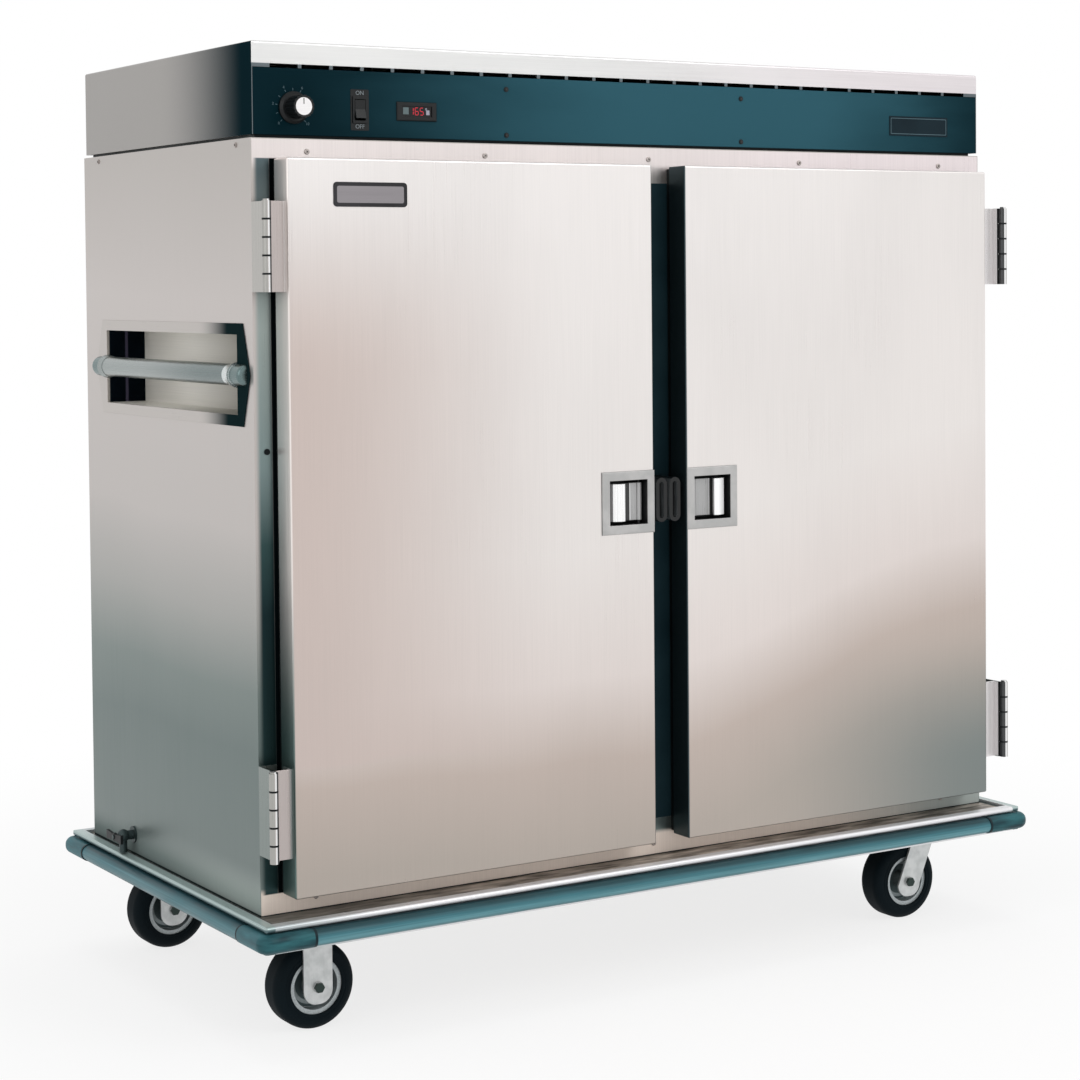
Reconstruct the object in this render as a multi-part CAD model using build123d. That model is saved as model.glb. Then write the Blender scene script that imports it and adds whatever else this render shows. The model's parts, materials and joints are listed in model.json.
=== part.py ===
from build123d import *
from math import radians, sin
import os

# Heated banquet cart, in millimetres. X runs along the front, -Y is the front, Z is up.
# The origin is on the floor, under the middle of the bumper.

# Cabinet body
BODY_WIDTH = 1465.0
BODY_DEPTH = 690.0
BODY_HEIGHT = 1199.0
SHEET = 1.5
SIDE_WALL = 78.0
WALL = 45.0
PACKING_GAP = 0.5

# Base, bumper and casters
CASTER_HEIGHT = 162.0
RAIL_HEIGHT = 38.0
RAIL_WIDTH = 40.0
RAIL_WALL = 3.0
PAD_THICKNESS = 5.0
PAD_HOLE = 10.0
DECK_THICKNESS = 3.0
BUMPER_SIDE = 42.0
BUMPER_FRONT = 92.0
BUMPER_REAR = 50.0
CHANNEL_DEPTH = 18.0
CHANNEL_HEIGHT = 42.0
CHANNEL_WALL = 3.0
CHANNEL_LIP = 4.0
BEAD_HEIGHT = 9.0
BEAD_ROUND = 4.0
BEAD_GROOVE = 3.0
VINYL_BULGE = 14.0
CAP_LEG = 95.0
CAP_RADIUS = 20.0
CAP_ROUND = 13.0
CAP_SIDE = 1.0
CASTER_X = 110.5
CASTER_Y = 60.0
CASTER_TRAIL = 37.0
WHEEL_ROOM = 22.0
WHEEL_DIAMETER = CASTER_HEIGHT - WHEEL_ROOM
TYRE_WIDTH = 55.0
TYRE_INNER = 45.0
TYRE_ROUND = 16.0
RIM_WALL = 7.0
RIM_WIDTH = 48.0
WEB_THICKNESS = 8.0
HUB_RADIUS = 15.0
HUB_PROUD = 1.0
HUB_WIDTH = TYRE_WIDTH + 2 * HUB_PROUD
AXLE_RADIUS = 6.0
FORK_SHEET = 4.0
FORK_GAP = 1.0
FORK_WIDTH = 50.0
FORK_SHOULDER = 5.0
FORK_TIP = 28.0
FORK_DROP = 24.0
CASTER_PLATE = 5.0
CASTER_PLATE_X = 102.0
CASTER_PLATE_Y = 114.0
BOLT_X = 66.7
BOLT_Y = 92.1
BOLT_RADIUS = 4.8
BOLT_HEAD = 8.5
BOLT_HEAD_HEIGHT = 6.5
NUT_HEIGHT = 8.0
THREAD_SPARE = 4.0
KINGPIN_RADIUS = 8.0
KINGPIN_HEAD = 13.0
KINGPIN_HEAD_HEIGHT = 4.0
RACE_RADIUS = 36.0
RACE_HEIGHT = 5.0
CROWN_RADIUS = 36.0
CROWN_HEIGHT = 7.0

# Clearances
RUNNING = 0.05
SLIDING = 0.4

# Doors
DOOR_INSET = 33.0
DOOR_GAP = 66.0
DOOR_TOP = 32.0
DOOR_BOTTOM = 34.0
DOOR_THICKNESS = 45.0
DOOR_FOLD = 3.0
GASKET_THICKNESS = 13.0
GASKET_WIDTH = 16.0
GASKET_INSET = 4.0
SEAL_GAP = 0.3

# Front frame
FRAME_DEPTH = 20.0
TOP_RAIL = 60.0
BOTTOM_RAIL = 62.0
MULLION_WIDTH = 120.0
MULLION_DEPTH = 40.0

# Hinges
HINGE_HEIGHT = 138.0
HINGE_UPPER = 167.0
HINGE_LOWER = 165.0
LEAF = 2.5
KNUCKLE_RADIUS = 7.0
KNUCKLE_COUNT = 5
KNUCKLE_GAP = 0.4
LEAF_START = 8.0
PIN_RADIUS = 3.0
PIN_HEAD = 5.0
PIN_HEAD_HEIGHT = 2.5
FRAME_FLANGE = 30.0
DOOR_FLANGE = 36.0
HINGE_SETBACK = 10.0

# Latches
LATCH_HEIGHT = 609.0
BEZEL = 104.0
BEZEL_PROUD = 3.0
CUP_WIDTH = 75.0
CUP_HEIGHT = 74.0
CUP_DEPTH = 36.0
CUP_WALL = 2.5
PIVOT_INSET = 8.0
PIVOT_DEPTH = 14.0
PIVOT_PIN = 2.5
BARREL_RADIUS = 5.5
PADDLE_HEIGHT = 62.0
PADDLE_PLATE = 3.5
PADDLE_REACH = 60.0
BAR_WIDTH = 22.0
BAR_TOE = 3.0
BAR_TOE_DROP = 5.0
BAR_CREST = 6.0
BAR_HOOK = 3.0
BAR_HOOK_DROP = 2.0
LUG_WIDTH = 6.0
LUG_REACH = 17.0
LUG_INSET = 2.0
BOLT_TRAVEL = 7.0
LATCH_BOLT_HEIGHT = 16.0
LATCH_BOLT_THICKNESS = 12.0
LATCH_BOLT_TAIL = 14.5
LATCH_BOLT_BEVEL = 7.2
BOLT_BEHIND_PIVOT = 6.5
STRIKE_WIDTH = 22.0
STRIKE_HEIGHT = 74.0
STRIKE_DEPTH = 52.0
STRIKE_GAP = 5.0
STRIKE_GROOVE = 9.0
STRIKE_GROOVE_DEPTH = 10.0

# Side handles
HANDLE_HEIGHT = 835.0
HANDLE_FRONT = 10.0
HANDLE_REAR = 52.0
HANDLE_POINT = 26.0
POCKET_INSET = 44.0
POCKET_HEIGHT = 128.0
POCKET_DEPTH = 70.0
HANDLE_BEZEL_HEIGHT = 160.0
HANDLE_BEZEL = 2.0
BAR_RADIUS = 17.0
BAR_WALL = 2.5
BAR_OVERLAP = 36.0
COLLAR_RADIUS = 20.0
COLLAR_LENGTH = 14.0
COLLAR_NECK = 17.6
BOSS_ROUND = 7.0

# Hood and controls
HOOD_GAP = 5.0
HOOD_HEIGHT = 143.0
HOOD_INSET = 3.0
HOOD_FOLD = 3.5
HOOD_LIP = 15.0
HOOD_BASE_INSET = 12.0
PANEL_HEIGHT = 103.0
PANEL_RETURN = 14.0
PANEL_GAP = 0.5
SLOT_LENGTH = 48.0
SLOT_HEIGHT = 6.0
SLOT_PITCH = 54.0
SLOT_MARGIN = 25.0
CONTROL_HEIGHT = 42.0
KNOB_X = 69.5
KNOB_SKIRT_RADIUS = 25.0
KNOB_SKIRT = 8.0
KNOB_RADIUS = 17.5
KNOB_LENGTH = 38.0
KNOB_FLUTES = 16
FLUTE_RADIUS = 2.0
KNOB_DIMPLE = 14.0
KNOB_DIMPLE_DEPTH = 0.8
KNOB_LIFT = 0.5
SHAFT_RADIUS = 3.0
SHAFT_LENGTH = 26.0
THERMOSTAT_SIZE = 48.0
THERMOSTAT_DEPTH = 40.0
SWITCH_X = 184.5
SWITCH_BEZEL_X = 26.0
SWITCH_BEZEL_Z = 42.0
SWITCH_BODY_X = 22.0
SWITCH_BODY_Z = 37.0
SWITCH_DEPTH = 26.0
SWITCH_PROUD = 2.5
ROCKER_X = 18.0
ROCKER_Z = 32.0
ROCKER_TILT = 8.0
ROCKER_ROOM = 1.5
ROCKER_PIN = 1.5
ROCKER_PIVOT = 4.0
DISPLAY_X = 285.5
DISPLAY_BEZEL_X = 72.0
DISPLAY_BEZEL_Z = 30.0
DISPLAY_BODY_X = 66.0
DISPLAY_BODY_Z = 25.0
DISPLAY_DEPTH = 40.0
DISPLAY_PROUD = 3.0
DISPLAY_WINDOW_X = 54.0
DISPLAY_WINDOW_Z = 17.0
DISPLAY_RECESS = 2.0

# Heater and blower
BLOWER_X = 150.0
BLOWER_RADIUS = 62.0
BLOWER_HEIGHT = 42.0
BLOWER_BLADES = 18
BLADE_THICKNESS = 2.5
BLADE_DEPTH = 14.0
HOUSING_RADIUS = 80.0
HOUSING_WALL = 2.5
HOUSING_HEIGHT = 58.0
OUTLET_WIDTH = 62.0
OUTLET_LENGTH = 120.0
INLET_RADIUS = 44.0
MOTOR_RADIUS = 42.0
MOTOR_HEIGHT = 60.0
MOTOR_SHAFT = 4.0
MOTOR_CLEARANCE = 3.0
HEATER_X = -120.0
HEATER_SPAN = 300.0
HEATER_WIDTH = 90.0
HEATER_TUBE = 5.0
HEATER_LIFT = 30.0
HEATER_SPACING = 180.0
HEATER_BLOCK_X = 24.0
HEATER_BLOCK_Z = 45.0

# Air ports between hood and cabinet
AIR_PORT_X = 470.0
AIR_PORT_Y = 130.0
AIR_PORT_WIDTH = 50.0
AIR_PORT_LENGTH = 140.0
AIR_SLOT = 8.0
AIR_SLOT_COUNT = 4

# Power inlet at the hood's back
INLET_X = 209.5
INLET_PLATE_X = 66.0
INLET_PLATE_Z = 50.0
INLET_PLATE = 4.0
INLET_SOCKET_X = 40.0
INLET_SOCKET_Z = 28.0
INLET_DEPTH = 30.0
INLET_PIN_RADIUS = 2.5
INLET_PIN_LENGTH = 16.0
INLET_PIN_SPACING = 12.0

# Shelves
SHELF_COUNT = 3
SHELF_WIRE = 6.0
SHELF_RIM = 9.0
SHELF_COLUMNS = 11
SHELF_ROWS = 2
SHELF_FRONT = 30.0
SHELF_BACK = 16.0
SHELF_PLAY = 1.0
POST_WIDTH = 25.0
POST_DEPTH = 12.0
POST_SETBACK = 110.0
CLIP_REACH = 18.0
CLIP_HEIGHT = 6.0

# Drain cock, low on the left side
DRAIN_Y = 184.0
DRAIN_LIFT = 34.0
DRAIN_PIPE = 8.0
DRAIN_FLANGE = 14.0
DRAIN_FLANGE_THICKNESS = 3.0
DRAIN_REACH = 20.0
DRAIN_BODY = 11.0
DRAIN_SPOUT = 7.0
DRAIN_SPOUT_GAP = 2.0
DRAIN_STEM = 4.0
DRAIN_STEM_LENGTH = 8.0
WING_LENGTH = 64.0
WING_END = 15.0
WING_WAIST = 9.0
WING_HUB = 7.0
WING_THICKNESS = 5.0
WING_LIFT = 1.5

# Screws
SCREW_HEAD = 4.5
SCREW_HEAD_HEIGHT = 2.0
SCREW_ROUND = 1.2
SCREW_EDGE = 20.0
SCREW_END = 95.0
TOP_SCREWS = 5
BOTTOM_SCREWS = 3

# Places worked out from the sizes above
half_width = BODY_WIDTH / 2
bumper_x = half_width + BUMPER_SIDE
bumper_y = (BODY_DEPTH + BUMPER_FRONT + BUMPER_REAR) / 2
front = BUMPER_FRONT - bumper_y
rear = front + BODY_DEPTH
middle_y = (front + rear) / 2
deck_top = CASTER_HEIGHT + RAIL_HEIGHT + DECK_THICKNESS
body_top = deck_top + BODY_HEIGHT
hood_bottom = body_top + HOOD_GAP
hood_top = hood_bottom + HOOD_HEIGHT
hood_side = half_width - HOOD_INSET
panel_top = hood_bottom + PANEL_HEIGHT
control_z = hood_bottom + CONTROL_HEIGHT
frame_back = front + SHEET
liner_side = half_width - SIDE_WALL
liner_back = rear - WALL
liner_floor = deck_top + BOTTOM_RAIL
liner_top = body_top - TOP_RAIL
door_back = front - GASKET_THICKNESS
door_front = door_back - DOOR_THICKNESS
door_low = deck_top + DOOR_BOTTOM
door_high = body_top - DOOR_TOP
door_outer = half_width - DOOR_INSET
door_inner = DOOR_GAP / 2
channel_inset = VINYL_BULGE + CHANNEL_DEPTH
channel_top = deck_top + CHANNEL_LIP
channel_low = channel_top - CHANNEL_HEIGHT
strip_low = channel_low + CHANNEL_WALL
strip_high = channel_top - BEAD_HEIGHT - BEAD_GROOVE
caster_x = half_width - CASTER_X
wheel_radius = WHEEL_DIAMETER / 2
handle_z = deck_top + HANDLE_HEIGHT
handle_near = front + HANDLE_FRONT
handle_far = rear - HANDLE_REAR
pocket_near = handle_near + POCKET_INSET
pocket_far = handle_far - POCKET_INSET
latch_z = deck_top + LATCH_HEIGHT
knob_x = KNOB_X - hood_side
switch_x = SWITCH_X - hood_side
display_x = DISPLAY_X - hood_side
inlet_x = hood_side - INLET_X
drain_y = rear - DRAIN_Y


def block(x0, x1, y0, y1, z0, z1):
    """A rectangular solid between two corners."""
    return Pos((x0 + x1) / 2, (y0 + y1) / 2, (z0 + z1) / 2) * Box(x1 - x0, y1 - y0, z1 - z0)


def rod_x(y, z, x0, x1, radius):
    return Pos((x0 + x1) / 2, y, z) * Rot(0, 90, 0) * Cylinder(radius, x1 - x0)


def rod_y(x, z, y0, y1, radius):
    return Pos(x, (y0 + y1) / 2, z) * Rot(90, 0, 0) * Cylinder(radius, y1 - y0)


def rod_z(x, y, z0, z1, radius):
    return Pos(x, y, (z0 + z1) / 2) * Cylinder(radius, z1 - z0)


def outline(points):
    return make_face(Polyline(*points, close=True))


def prism_x(points, x0, x1):
    """A (y, z) outline drawn out along X."""
    return Pos(x0, 0, 0) * extrude(Plane.YZ * outline(points), amount=x1 - x0)


def prism_y(points, y0, y1):
    """An (x, z) outline drawn out along Y."""
    return Pos(0, y1, 0) * extrude(Plane.XZ * outline(points), amount=y1 - y0)


def prism_z(points, z0, z1):
    """An (x, y) outline drawn out along Z."""
    return Pos(0, 0, z0) * extrude(outline(points), amount=z1 - z0)


def hexagon_z(x, y, z0, z1, radius):
    """A bolt head whose flats are a circle of the given radius apart."""
    return Pos(x, y, z0) * extrude(RegularPolygon(radius, 6), amount=z1 - z0)


def mirrored(shape):
    return mirror(shape, about=Plane.YZ)


def save(name, *shapes):
    solids = [solid for shape in shapes for solid in shape.solids()]
    export_step(Compound(children=solids), f"parts/{name}.step")


# Cabinet sheets, each a separate panel

def pocket_block(x0, x1, spare):
    """The room that a handle pocket takes in the left wall, between two depths."""
    half = POCKET_HEIGHT / 2 + spare
    return block(x0, x1, pocket_near - spare, pocket_far + spare, handle_z - half, handle_z + half)


def side_sheet():
    sheet = block(-half_width, -half_width + SHEET, front, rear, deck_top, body_top)
    drain_hole = rod_x(drain_y, deck_top + DRAIN_LIFT, -half_width - SHEET, -half_width + 2 * SHEET, DRAIN_PIPE)
    return sheet - pocket_block(-half_width - SHEET, -half_width + 2 * SHEET, PACKING_GAP), drain_hole


def air_places():
    return [(sx * AIR_PORT_X, middle_y + sy * AIR_PORT_Y) for sx in (-1, 1) for sy in (-1, 1)]


def air_ports(low, high):
    """The four ways for warm air down through the ceiling."""
    half_x = AIR_PORT_WIDTH / 2
    half_y = AIR_PORT_LENGTH / 2
    return [block(x - half_x, x + half_x, y - half_y, y + half_y, low, high) for x, y in air_places()]


def air_grilles(low, high):
    """The slots that cover the same ways in the liner."""
    pitch = (AIR_PORT_WIDTH - AIR_SLOT) / (AIR_SLOT_COUNT - 1)
    half_y = AIR_PORT_LENGTH / 2
    slots = []
    for x, y in air_places():
        for number in range(AIR_SLOT_COUNT):
            edge = x - AIR_PORT_WIDTH / 2 + number * pitch
            slots.append(block(edge, edge + AIR_SLOT, y - half_y, y + half_y, low, high))
    return slots


def make_outer_casing():
    left, drain_hole = side_sheet()
    inner = half_width - SHEET
    back = block(-inner, inner, rear - SHEET, rear, deck_top, body_top)
    top = block(-inner, inner, front, rear - SHEET, body_top - SHEET, body_top)
    top -= air_ports(body_top - SHEET - 1, body_top + 1)
    floor = block(-inner, inner, front, rear - SHEET, deck_top, deck_top + SHEET)
    save("outer_casing", left - drain_hole, mirrored(left), back, top, floor)


def make_front_frame():
    side = half_width - SHEET
    low = deck_top + SHEET
    high = body_top - SHEET
    flange = side - SHEET
    frame = block(-side, side, front, front + FRAME_DEPTH, low, high)
    frame -= block(-flange, flange, frame_back, front + FRAME_DEPTH + 1, low + SHEET, high - SHEET)
    frame -= block(-liner_side, liner_side, front - 1, frame_back + 1, liner_floor, liner_top)
    save("front_frame", frame)
    half = MULLION_WIDTH / 2
    room = half - SHEET
    mullion = block(-half, half, front, front + MULLION_DEPTH, liner_floor, liner_top)
    mullion -= block(-room, room, frame_back, front + MULLION_DEPTH + 1, liner_floor - 1, liner_top + 1)
    save("center_mullion", mullion)


def make_inner_liner():
    outer = liner_side + SHEET
    left = block(-outer, -liner_side, frame_back, liner_back + SHEET, liner_floor, liner_top)
    back = block(-liner_side, liner_side, liner_back, liner_back + SHEET, liner_floor, liner_top)
    floor = block(-outer, outer, frame_back, liner_back + SHEET, liner_floor - SHEET, liner_floor)
    top = block(-outer, outer, frame_back, liner_back + SHEET, liner_top, liner_top + SHEET)
    top -= air_grilles(liner_top - 1, liner_top + SHEET + 1)
    save("inner_liner", left, mirrored(left), back, floor, top)


def make_insulation():
    gap = PACKING_GAP
    skin = half_width - SHEET - gap
    liner = liner_side + SHEET + gap
    low = deck_top + SHEET + gap
    high = body_top - SHEET - gap
    floor_high = liner_floor - SHEET - gap
    top_low = liner_top + SHEET + gap
    near = front + FRAME_DEPTH + gap
    far = rear - SHEET - gap
    back_near = liner_back + SHEET + gap
    left = block(-skin, -liner, near, far, floor_high + gap, top_low - gap)
    left -= pocket_block(-half_width, SHEET + POCKET_DEPTH - half_width, SHEET)
    back = block(-liner + gap, liner - gap, back_near, far, floor_high + gap, top_low - gap)
    floor = block(-skin, skin, near, far, low, floor_high)
    floor -= rod_x(drain_y, deck_top + DRAIN_LIFT, -half_width, liner_side - half_width, DRAIN_PIPE + gap)
    top = block(-skin, skin, near, far, top_low, high)
    top -= air_ports(top_low - 1, high + 1)
    save("cabinet_insulation", left, mirrored(left), back, floor, top)


# Base frame and bumper

def plan_rectangle(inset, low, high):
    return block(inset - bumper_x, bumper_x - inset, inset - bumper_y, bumper_y - inset, low, high)


def caster_places(side):
    """The two plate centres at the left (-1) or right (1) end."""
    return [(side * caster_x, front + CASTER_Y), (side * caster_x, rear - CASTER_Y)]


def bolt_places(x, y):
    return [(x + sx * BOLT_X / 2, y + sy * BOLT_Y / 2) for sx in (-1, 1) for sy in (-1, 1)]


def all_bolts():
    return [spot for side in (-1, 1) for place in caster_places(side) for spot in bolt_places(*place)]


def make_base_chassis():
    """A deck with a turned-in rail all round, and two boxed members that the casters bolt to."""
    rail_top = CASTER_HEIGHT + RAIL_HEIGHT
    chassis = plan_rectangle(channel_inset, CASTER_HEIGHT, deck_top)
    chassis -= plan_rectangle(channel_inset + RAIL_WIDTH, CASTER_HEIGHT - 1, CASTER_HEIGHT + RAIL_WALL)
    chassis -= plan_rectangle(channel_inset + RAIL_WALL, CASTER_HEIGHT + RAIL_WALL, rail_top)
    reach = bumper_y - channel_inset - RAIL_WALL
    half = CASTER_PLATE_X / 2 + BOLT_HEAD
    for x in (-caster_x, caster_x):
        member = block(x - half, x + half, -reach, reach, CASTER_HEIGHT, rail_top)
        room = half - RAIL_WALL
        member -= block(x - room, x + room, -reach - 1, reach + 1, CASTER_HEIGHT + PAD_THICKNESS, rail_top + 1)
        middle_z = (CASTER_HEIGHT + PAD_THICKNESS + rail_top) / 2
        member -= rod_x(0, middle_z, x - half - 1, x + half + 1, PAD_HOLE)
        chassis += member
    for x, y in all_bolts():
        chassis -= rod_z(x, y, CASTER_HEIGHT - 1, CASTER_HEIGHT + PAD_THICKNESS + 1, BOLT_RADIUS + RUNNING)
    save("base_chassis", chassis)


def edge_bar(turn, inset_in, inset_out, low, high, rounding=0):
    """One mitred side of the bumper frame, counted from the front, with its outer edges rounded."""
    x_in = bumper_x - inset_in
    x_out = bumper_x - inset_out
    y_in = bumper_y - inset_in
    y_out = bumper_y - inset_out
    if turn % 2 == 0:
        points = [(-x_in, -y_in), (-x_out, -y_out), (x_out, -y_out), (x_in, -y_in)]
    else:
        points = [(x_in, -y_in), (x_out, -y_out), (x_out, y_out), (x_in, y_in)]
    bar = prism_z(points, low, high)
    if rounding:
        outer = bar.faces().sort_by(Axis.Y)[0] if turn % 2 == 0 else bar.faces().sort_by(Axis.X)[-1]
        bar = fillet(outer.edges().filter_by(Axis.Z, reverse=True), rounding)
    return bar if turn < 2 else mirror(bar, about=Plane.XZ if turn == 2 else Plane.YZ)


def rounded_plan(inset, radius, low, high):
    plan = RectangleRounded(2 * (bumper_x - inset), 2 * (bumper_y - inset), radius)
    return Pos(0, 0, low) * extrude(plan, amount=high - low)


def make_bumper():
    trim = rounded_plan(VINYL_BULGE, CAP_RADIUS - VINYL_BULGE, channel_low - 1, channel_top + 1)
    channels = []
    strips = []
    for turn in range(4):
        web = edge_bar(turn, channel_inset, channel_inset - CHANNEL_WALL, channel_low, channel_top)
        foot = edge_bar(turn, channel_inset, VINYL_BULGE, channel_low, channel_low + CHANNEL_WALL)
        bead = edge_bar(turn, channel_inset, VINYL_BULGE, channel_top - BEAD_HEIGHT, channel_top, BEAD_ROUND)
        channels.append((web + foot + bead) & trim)
        strips.append(vinyl_strip(turn))
    save("bumper_channels", *channels)
    save("bumper_strips", *strips)
    save("bumper_corners", *corner_caps())


def vinyl_strip(turn):
    """A bar that fills the channel and swells out of it."""
    along = (bumper_x if turn % 2 == 0 else bumper_y) - CAP_LEG
    across = bumper_y if turn % 2 == 0 else bumper_x
    mouth = VINYL_BULGE - across
    root = channel_inset - CHANNEL_WALL - across
    crest = (CAP_SIDE - across, (strip_low + strip_high) / 2)
    swell = ThreePointArc((mouth, strip_low), crest, (mouth, strip_high))
    back = Polyline((mouth, strip_high), (root, strip_high), (root, strip_low), (mouth, strip_low))
    strip = extrude(Plane.YZ * make_face([swell, back]), amount=2 * along)
    return Rot(0, 0, 90 * turn) * Pos(-along, 0, 0) * strip


def corner_caps():
    """Moulded corners, a little fuller than the strips, with a tongue in the channel."""
    low = strip_low - CAP_SIDE
    high = strip_high + CAP_SIDE
    ring = rounded_plan(0, CAP_RADIUS, low, high)
    ring = fillet(ring.edges().filter_by(Axis.Z, reverse=True), CAP_ROUND)
    ring -= rounded_plan(VINYL_BULGE, CAP_RADIUS - VINYL_BULGE, low - 1, strip_low)
    ring -= rounded_plan(VINYL_BULGE, CAP_RADIUS - VINYL_BULGE, strip_high, high + 1)
    ring -= plan_rectangle(channel_inset - CHANNEL_WALL, low - 1, high + 1)
    caps = []
    for sx in (-1, 1):
        for sy in (-1, 1):
            corner = Pos(sx * bumper_x, sy * bumper_y, channel_low)
            caps.append(ring & (corner * Box(2 * CAP_LEG, 2 * CAP_LEG, 2 * CHANNEL_HEIGHT)))
    return caps


# Casters

def wheel_ring(inner, outer, width):
    return Pos((inner + outer) / 2, 0) * Rectangle(outer - inner, width)


def make_wheel(name, x, y):
    place = Pos(x, y, wheel_radius)
    tread = wheel_ring(TYRE_INNER, wheel_radius, TYRE_WIDTH)
    tread = fillet(tread.vertices().group_by(Axis.X)[-1], TYRE_ROUND)
    save(f"{name}_tyre", place * revolve(tread, Axis.Y))
    rim_outer = TYRE_INNER - RUNNING
    rim_inner = rim_outer - RIM_WALL
    bore = AXLE_RADIUS + RUNNING
    profile = wheel_ring(rim_inner, rim_outer, RIM_WIDTH)
    profile += wheel_ring(HUB_RADIUS - 1, rim_inner + 1, WEB_THICKNESS)
    profile += wheel_ring(bore, HUB_RADIUS, HUB_WIDTH)
    save(f"{name}_hub", place * revolve(profile, Axis.Y))


def fork_legs(trail, top):
    """Both legs of a fork, from under its plate down to slanted tips round an axle set back by the trail."""
    inner = HUB_WIDTH / 2 + FORK_GAP
    half = FORK_WIDTH / 2
    tip = FORK_TIP / 2
    shoulder = wheel_radius - FORK_SHOULDER
    low = wheel_radius - FORK_DROP
    points = [(-half, top), (trail - half, shoulder), (trail - tip, low)]
    points += [(trail + tip, low), (trail + half, shoulder), (half, top)]
    leg = extrude(Plane.XZ * outline(points), amount=FORK_SHEET)
    return [Pos(0, -inner, 0) * leg, Pos(0, inner + FORK_SHEET, 0) * leg]


def axle(x, y):
    """The axle bolt with its head and nut."""
    reach = HUB_WIDTH / 2 + FORK_GAP + FORK_SHEET
    bolt = rod_y(x, wheel_radius, y - reach, y + reach, AXLE_RADIUS)
    head = extrude(Plane.XZ * RegularPolygon(BOLT_HEAD, 6), amount=BOLT_HEAD_HEIGHT)
    bolt += Pos(x, y - reach, wheel_radius) * head
    bolt += Pos(x, y + reach + BOLT_HEAD_HEIGHT, wheel_radius) * head
    return bolt


def caster_plate(x, y):
    half_x = CASTER_PLATE_X / 2
    half_y = CASTER_PLATE_Y / 2
    plate = block(x - half_x, x + half_x, y - half_y, y + half_y, CASTER_HEIGHT - CASTER_PLATE, CASTER_HEIGHT)
    for bx, by in bolt_places(x, y):
        plate -= rod_z(bx, by, 0, CASTER_HEIGHT + 1, BOLT_RADIUS + RUNNING)
    return plate


def axle_hole(x, y):
    reach = HUB_WIDTH
    return rod_y(x, wheel_radius, y - reach, y + reach, AXLE_RADIUS + RUNNING)


def rigid_fork(x, y):
    fork = caster_plate(x, y)
    for leg in fork_legs(0, CASTER_HEIGHT - CASTER_PLATE):
        fork += Pos(x, y, 0) * leg
    return fork - axle_hole(x, y)


def swivel_plate(x, y):
    """The top plate, its upper race and the kingpin."""
    under = CASTER_HEIGHT - CASTER_PLATE
    crown_low = under - RACE_HEIGHT - SLIDING - CROWN_HEIGHT
    plate = caster_plate(x, y)
    plate += rod_z(x, y, under - RACE_HEIGHT, under, RACE_RADIUS)
    plate += rod_z(x, y, crown_low - KINGPIN_HEAD_HEIGHT - SLIDING, under, KINGPIN_RADIUS)
    head_low = crown_low - SLIDING - KINGPIN_HEAD_HEIGHT
    plate += rod_z(x, y, head_low, head_low + KINGPIN_HEAD_HEIGHT, KINGPIN_HEAD)
    return plate


def swivel_fork(x, y):
    crown_top = CASTER_HEIGHT - CASTER_PLATE - RACE_HEIGHT - SLIDING
    crown_low = crown_top - CROWN_HEIGHT
    fork = rod_z(x, y, crown_low, crown_top, CROWN_RADIUS)
    for leg in fork_legs(-CASTER_TRAIL, crown_top):
        fork += Pos(x, y, 0) * leg
    fork -= rod_z(x, y, crown_low - 1, crown_top + 1, KINGPIN_RADIUS + RUNNING)
    return fork - axle_hole(x - CASTER_TRAIL, y)


def make_casters():
    rigid = []
    plates = []
    for end, (x, y) in zip(("front", "rear"), caster_places(-1)):
        rigid.extend([rigid_fork(x, y), axle(x, y)])
        make_wheel(f"{end}_left", x, y)
    for end, (x, y) in zip(("front", "rear"), caster_places(1)):
        plates.append(swivel_plate(x, y))
        save(f"{end}_swivel_fork", swivel_fork(x, y), axle(x - CASTER_TRAIL, y))
        make_wheel(f"{end}_right", x - CASTER_TRAIL, y)
    save("rigid_caster_forks", *rigid)
    save("swivel_caster_plates", *plates)
    under = CASTER_HEIGHT - CASTER_PLATE
    bolts = []
    for x, y in all_bolts():
        nut_low = CASTER_HEIGHT + PAD_THICKNESS
        nut_high = nut_low + NUT_HEIGHT
        bolt = hexagon_z(x, y, under - BOLT_HEAD_HEIGHT, under, BOLT_HEAD)
        bolt += rod_z(x, y, under, nut_high + THREAD_SPARE, BOLT_RADIUS)
        bolts.append(bolt + hexagon_z(x, y, nut_low, nut_high, BOLT_HEAD))
    save("caster_bolts", *bolts)


# Hinges, built for the left door and mirrored

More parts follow.
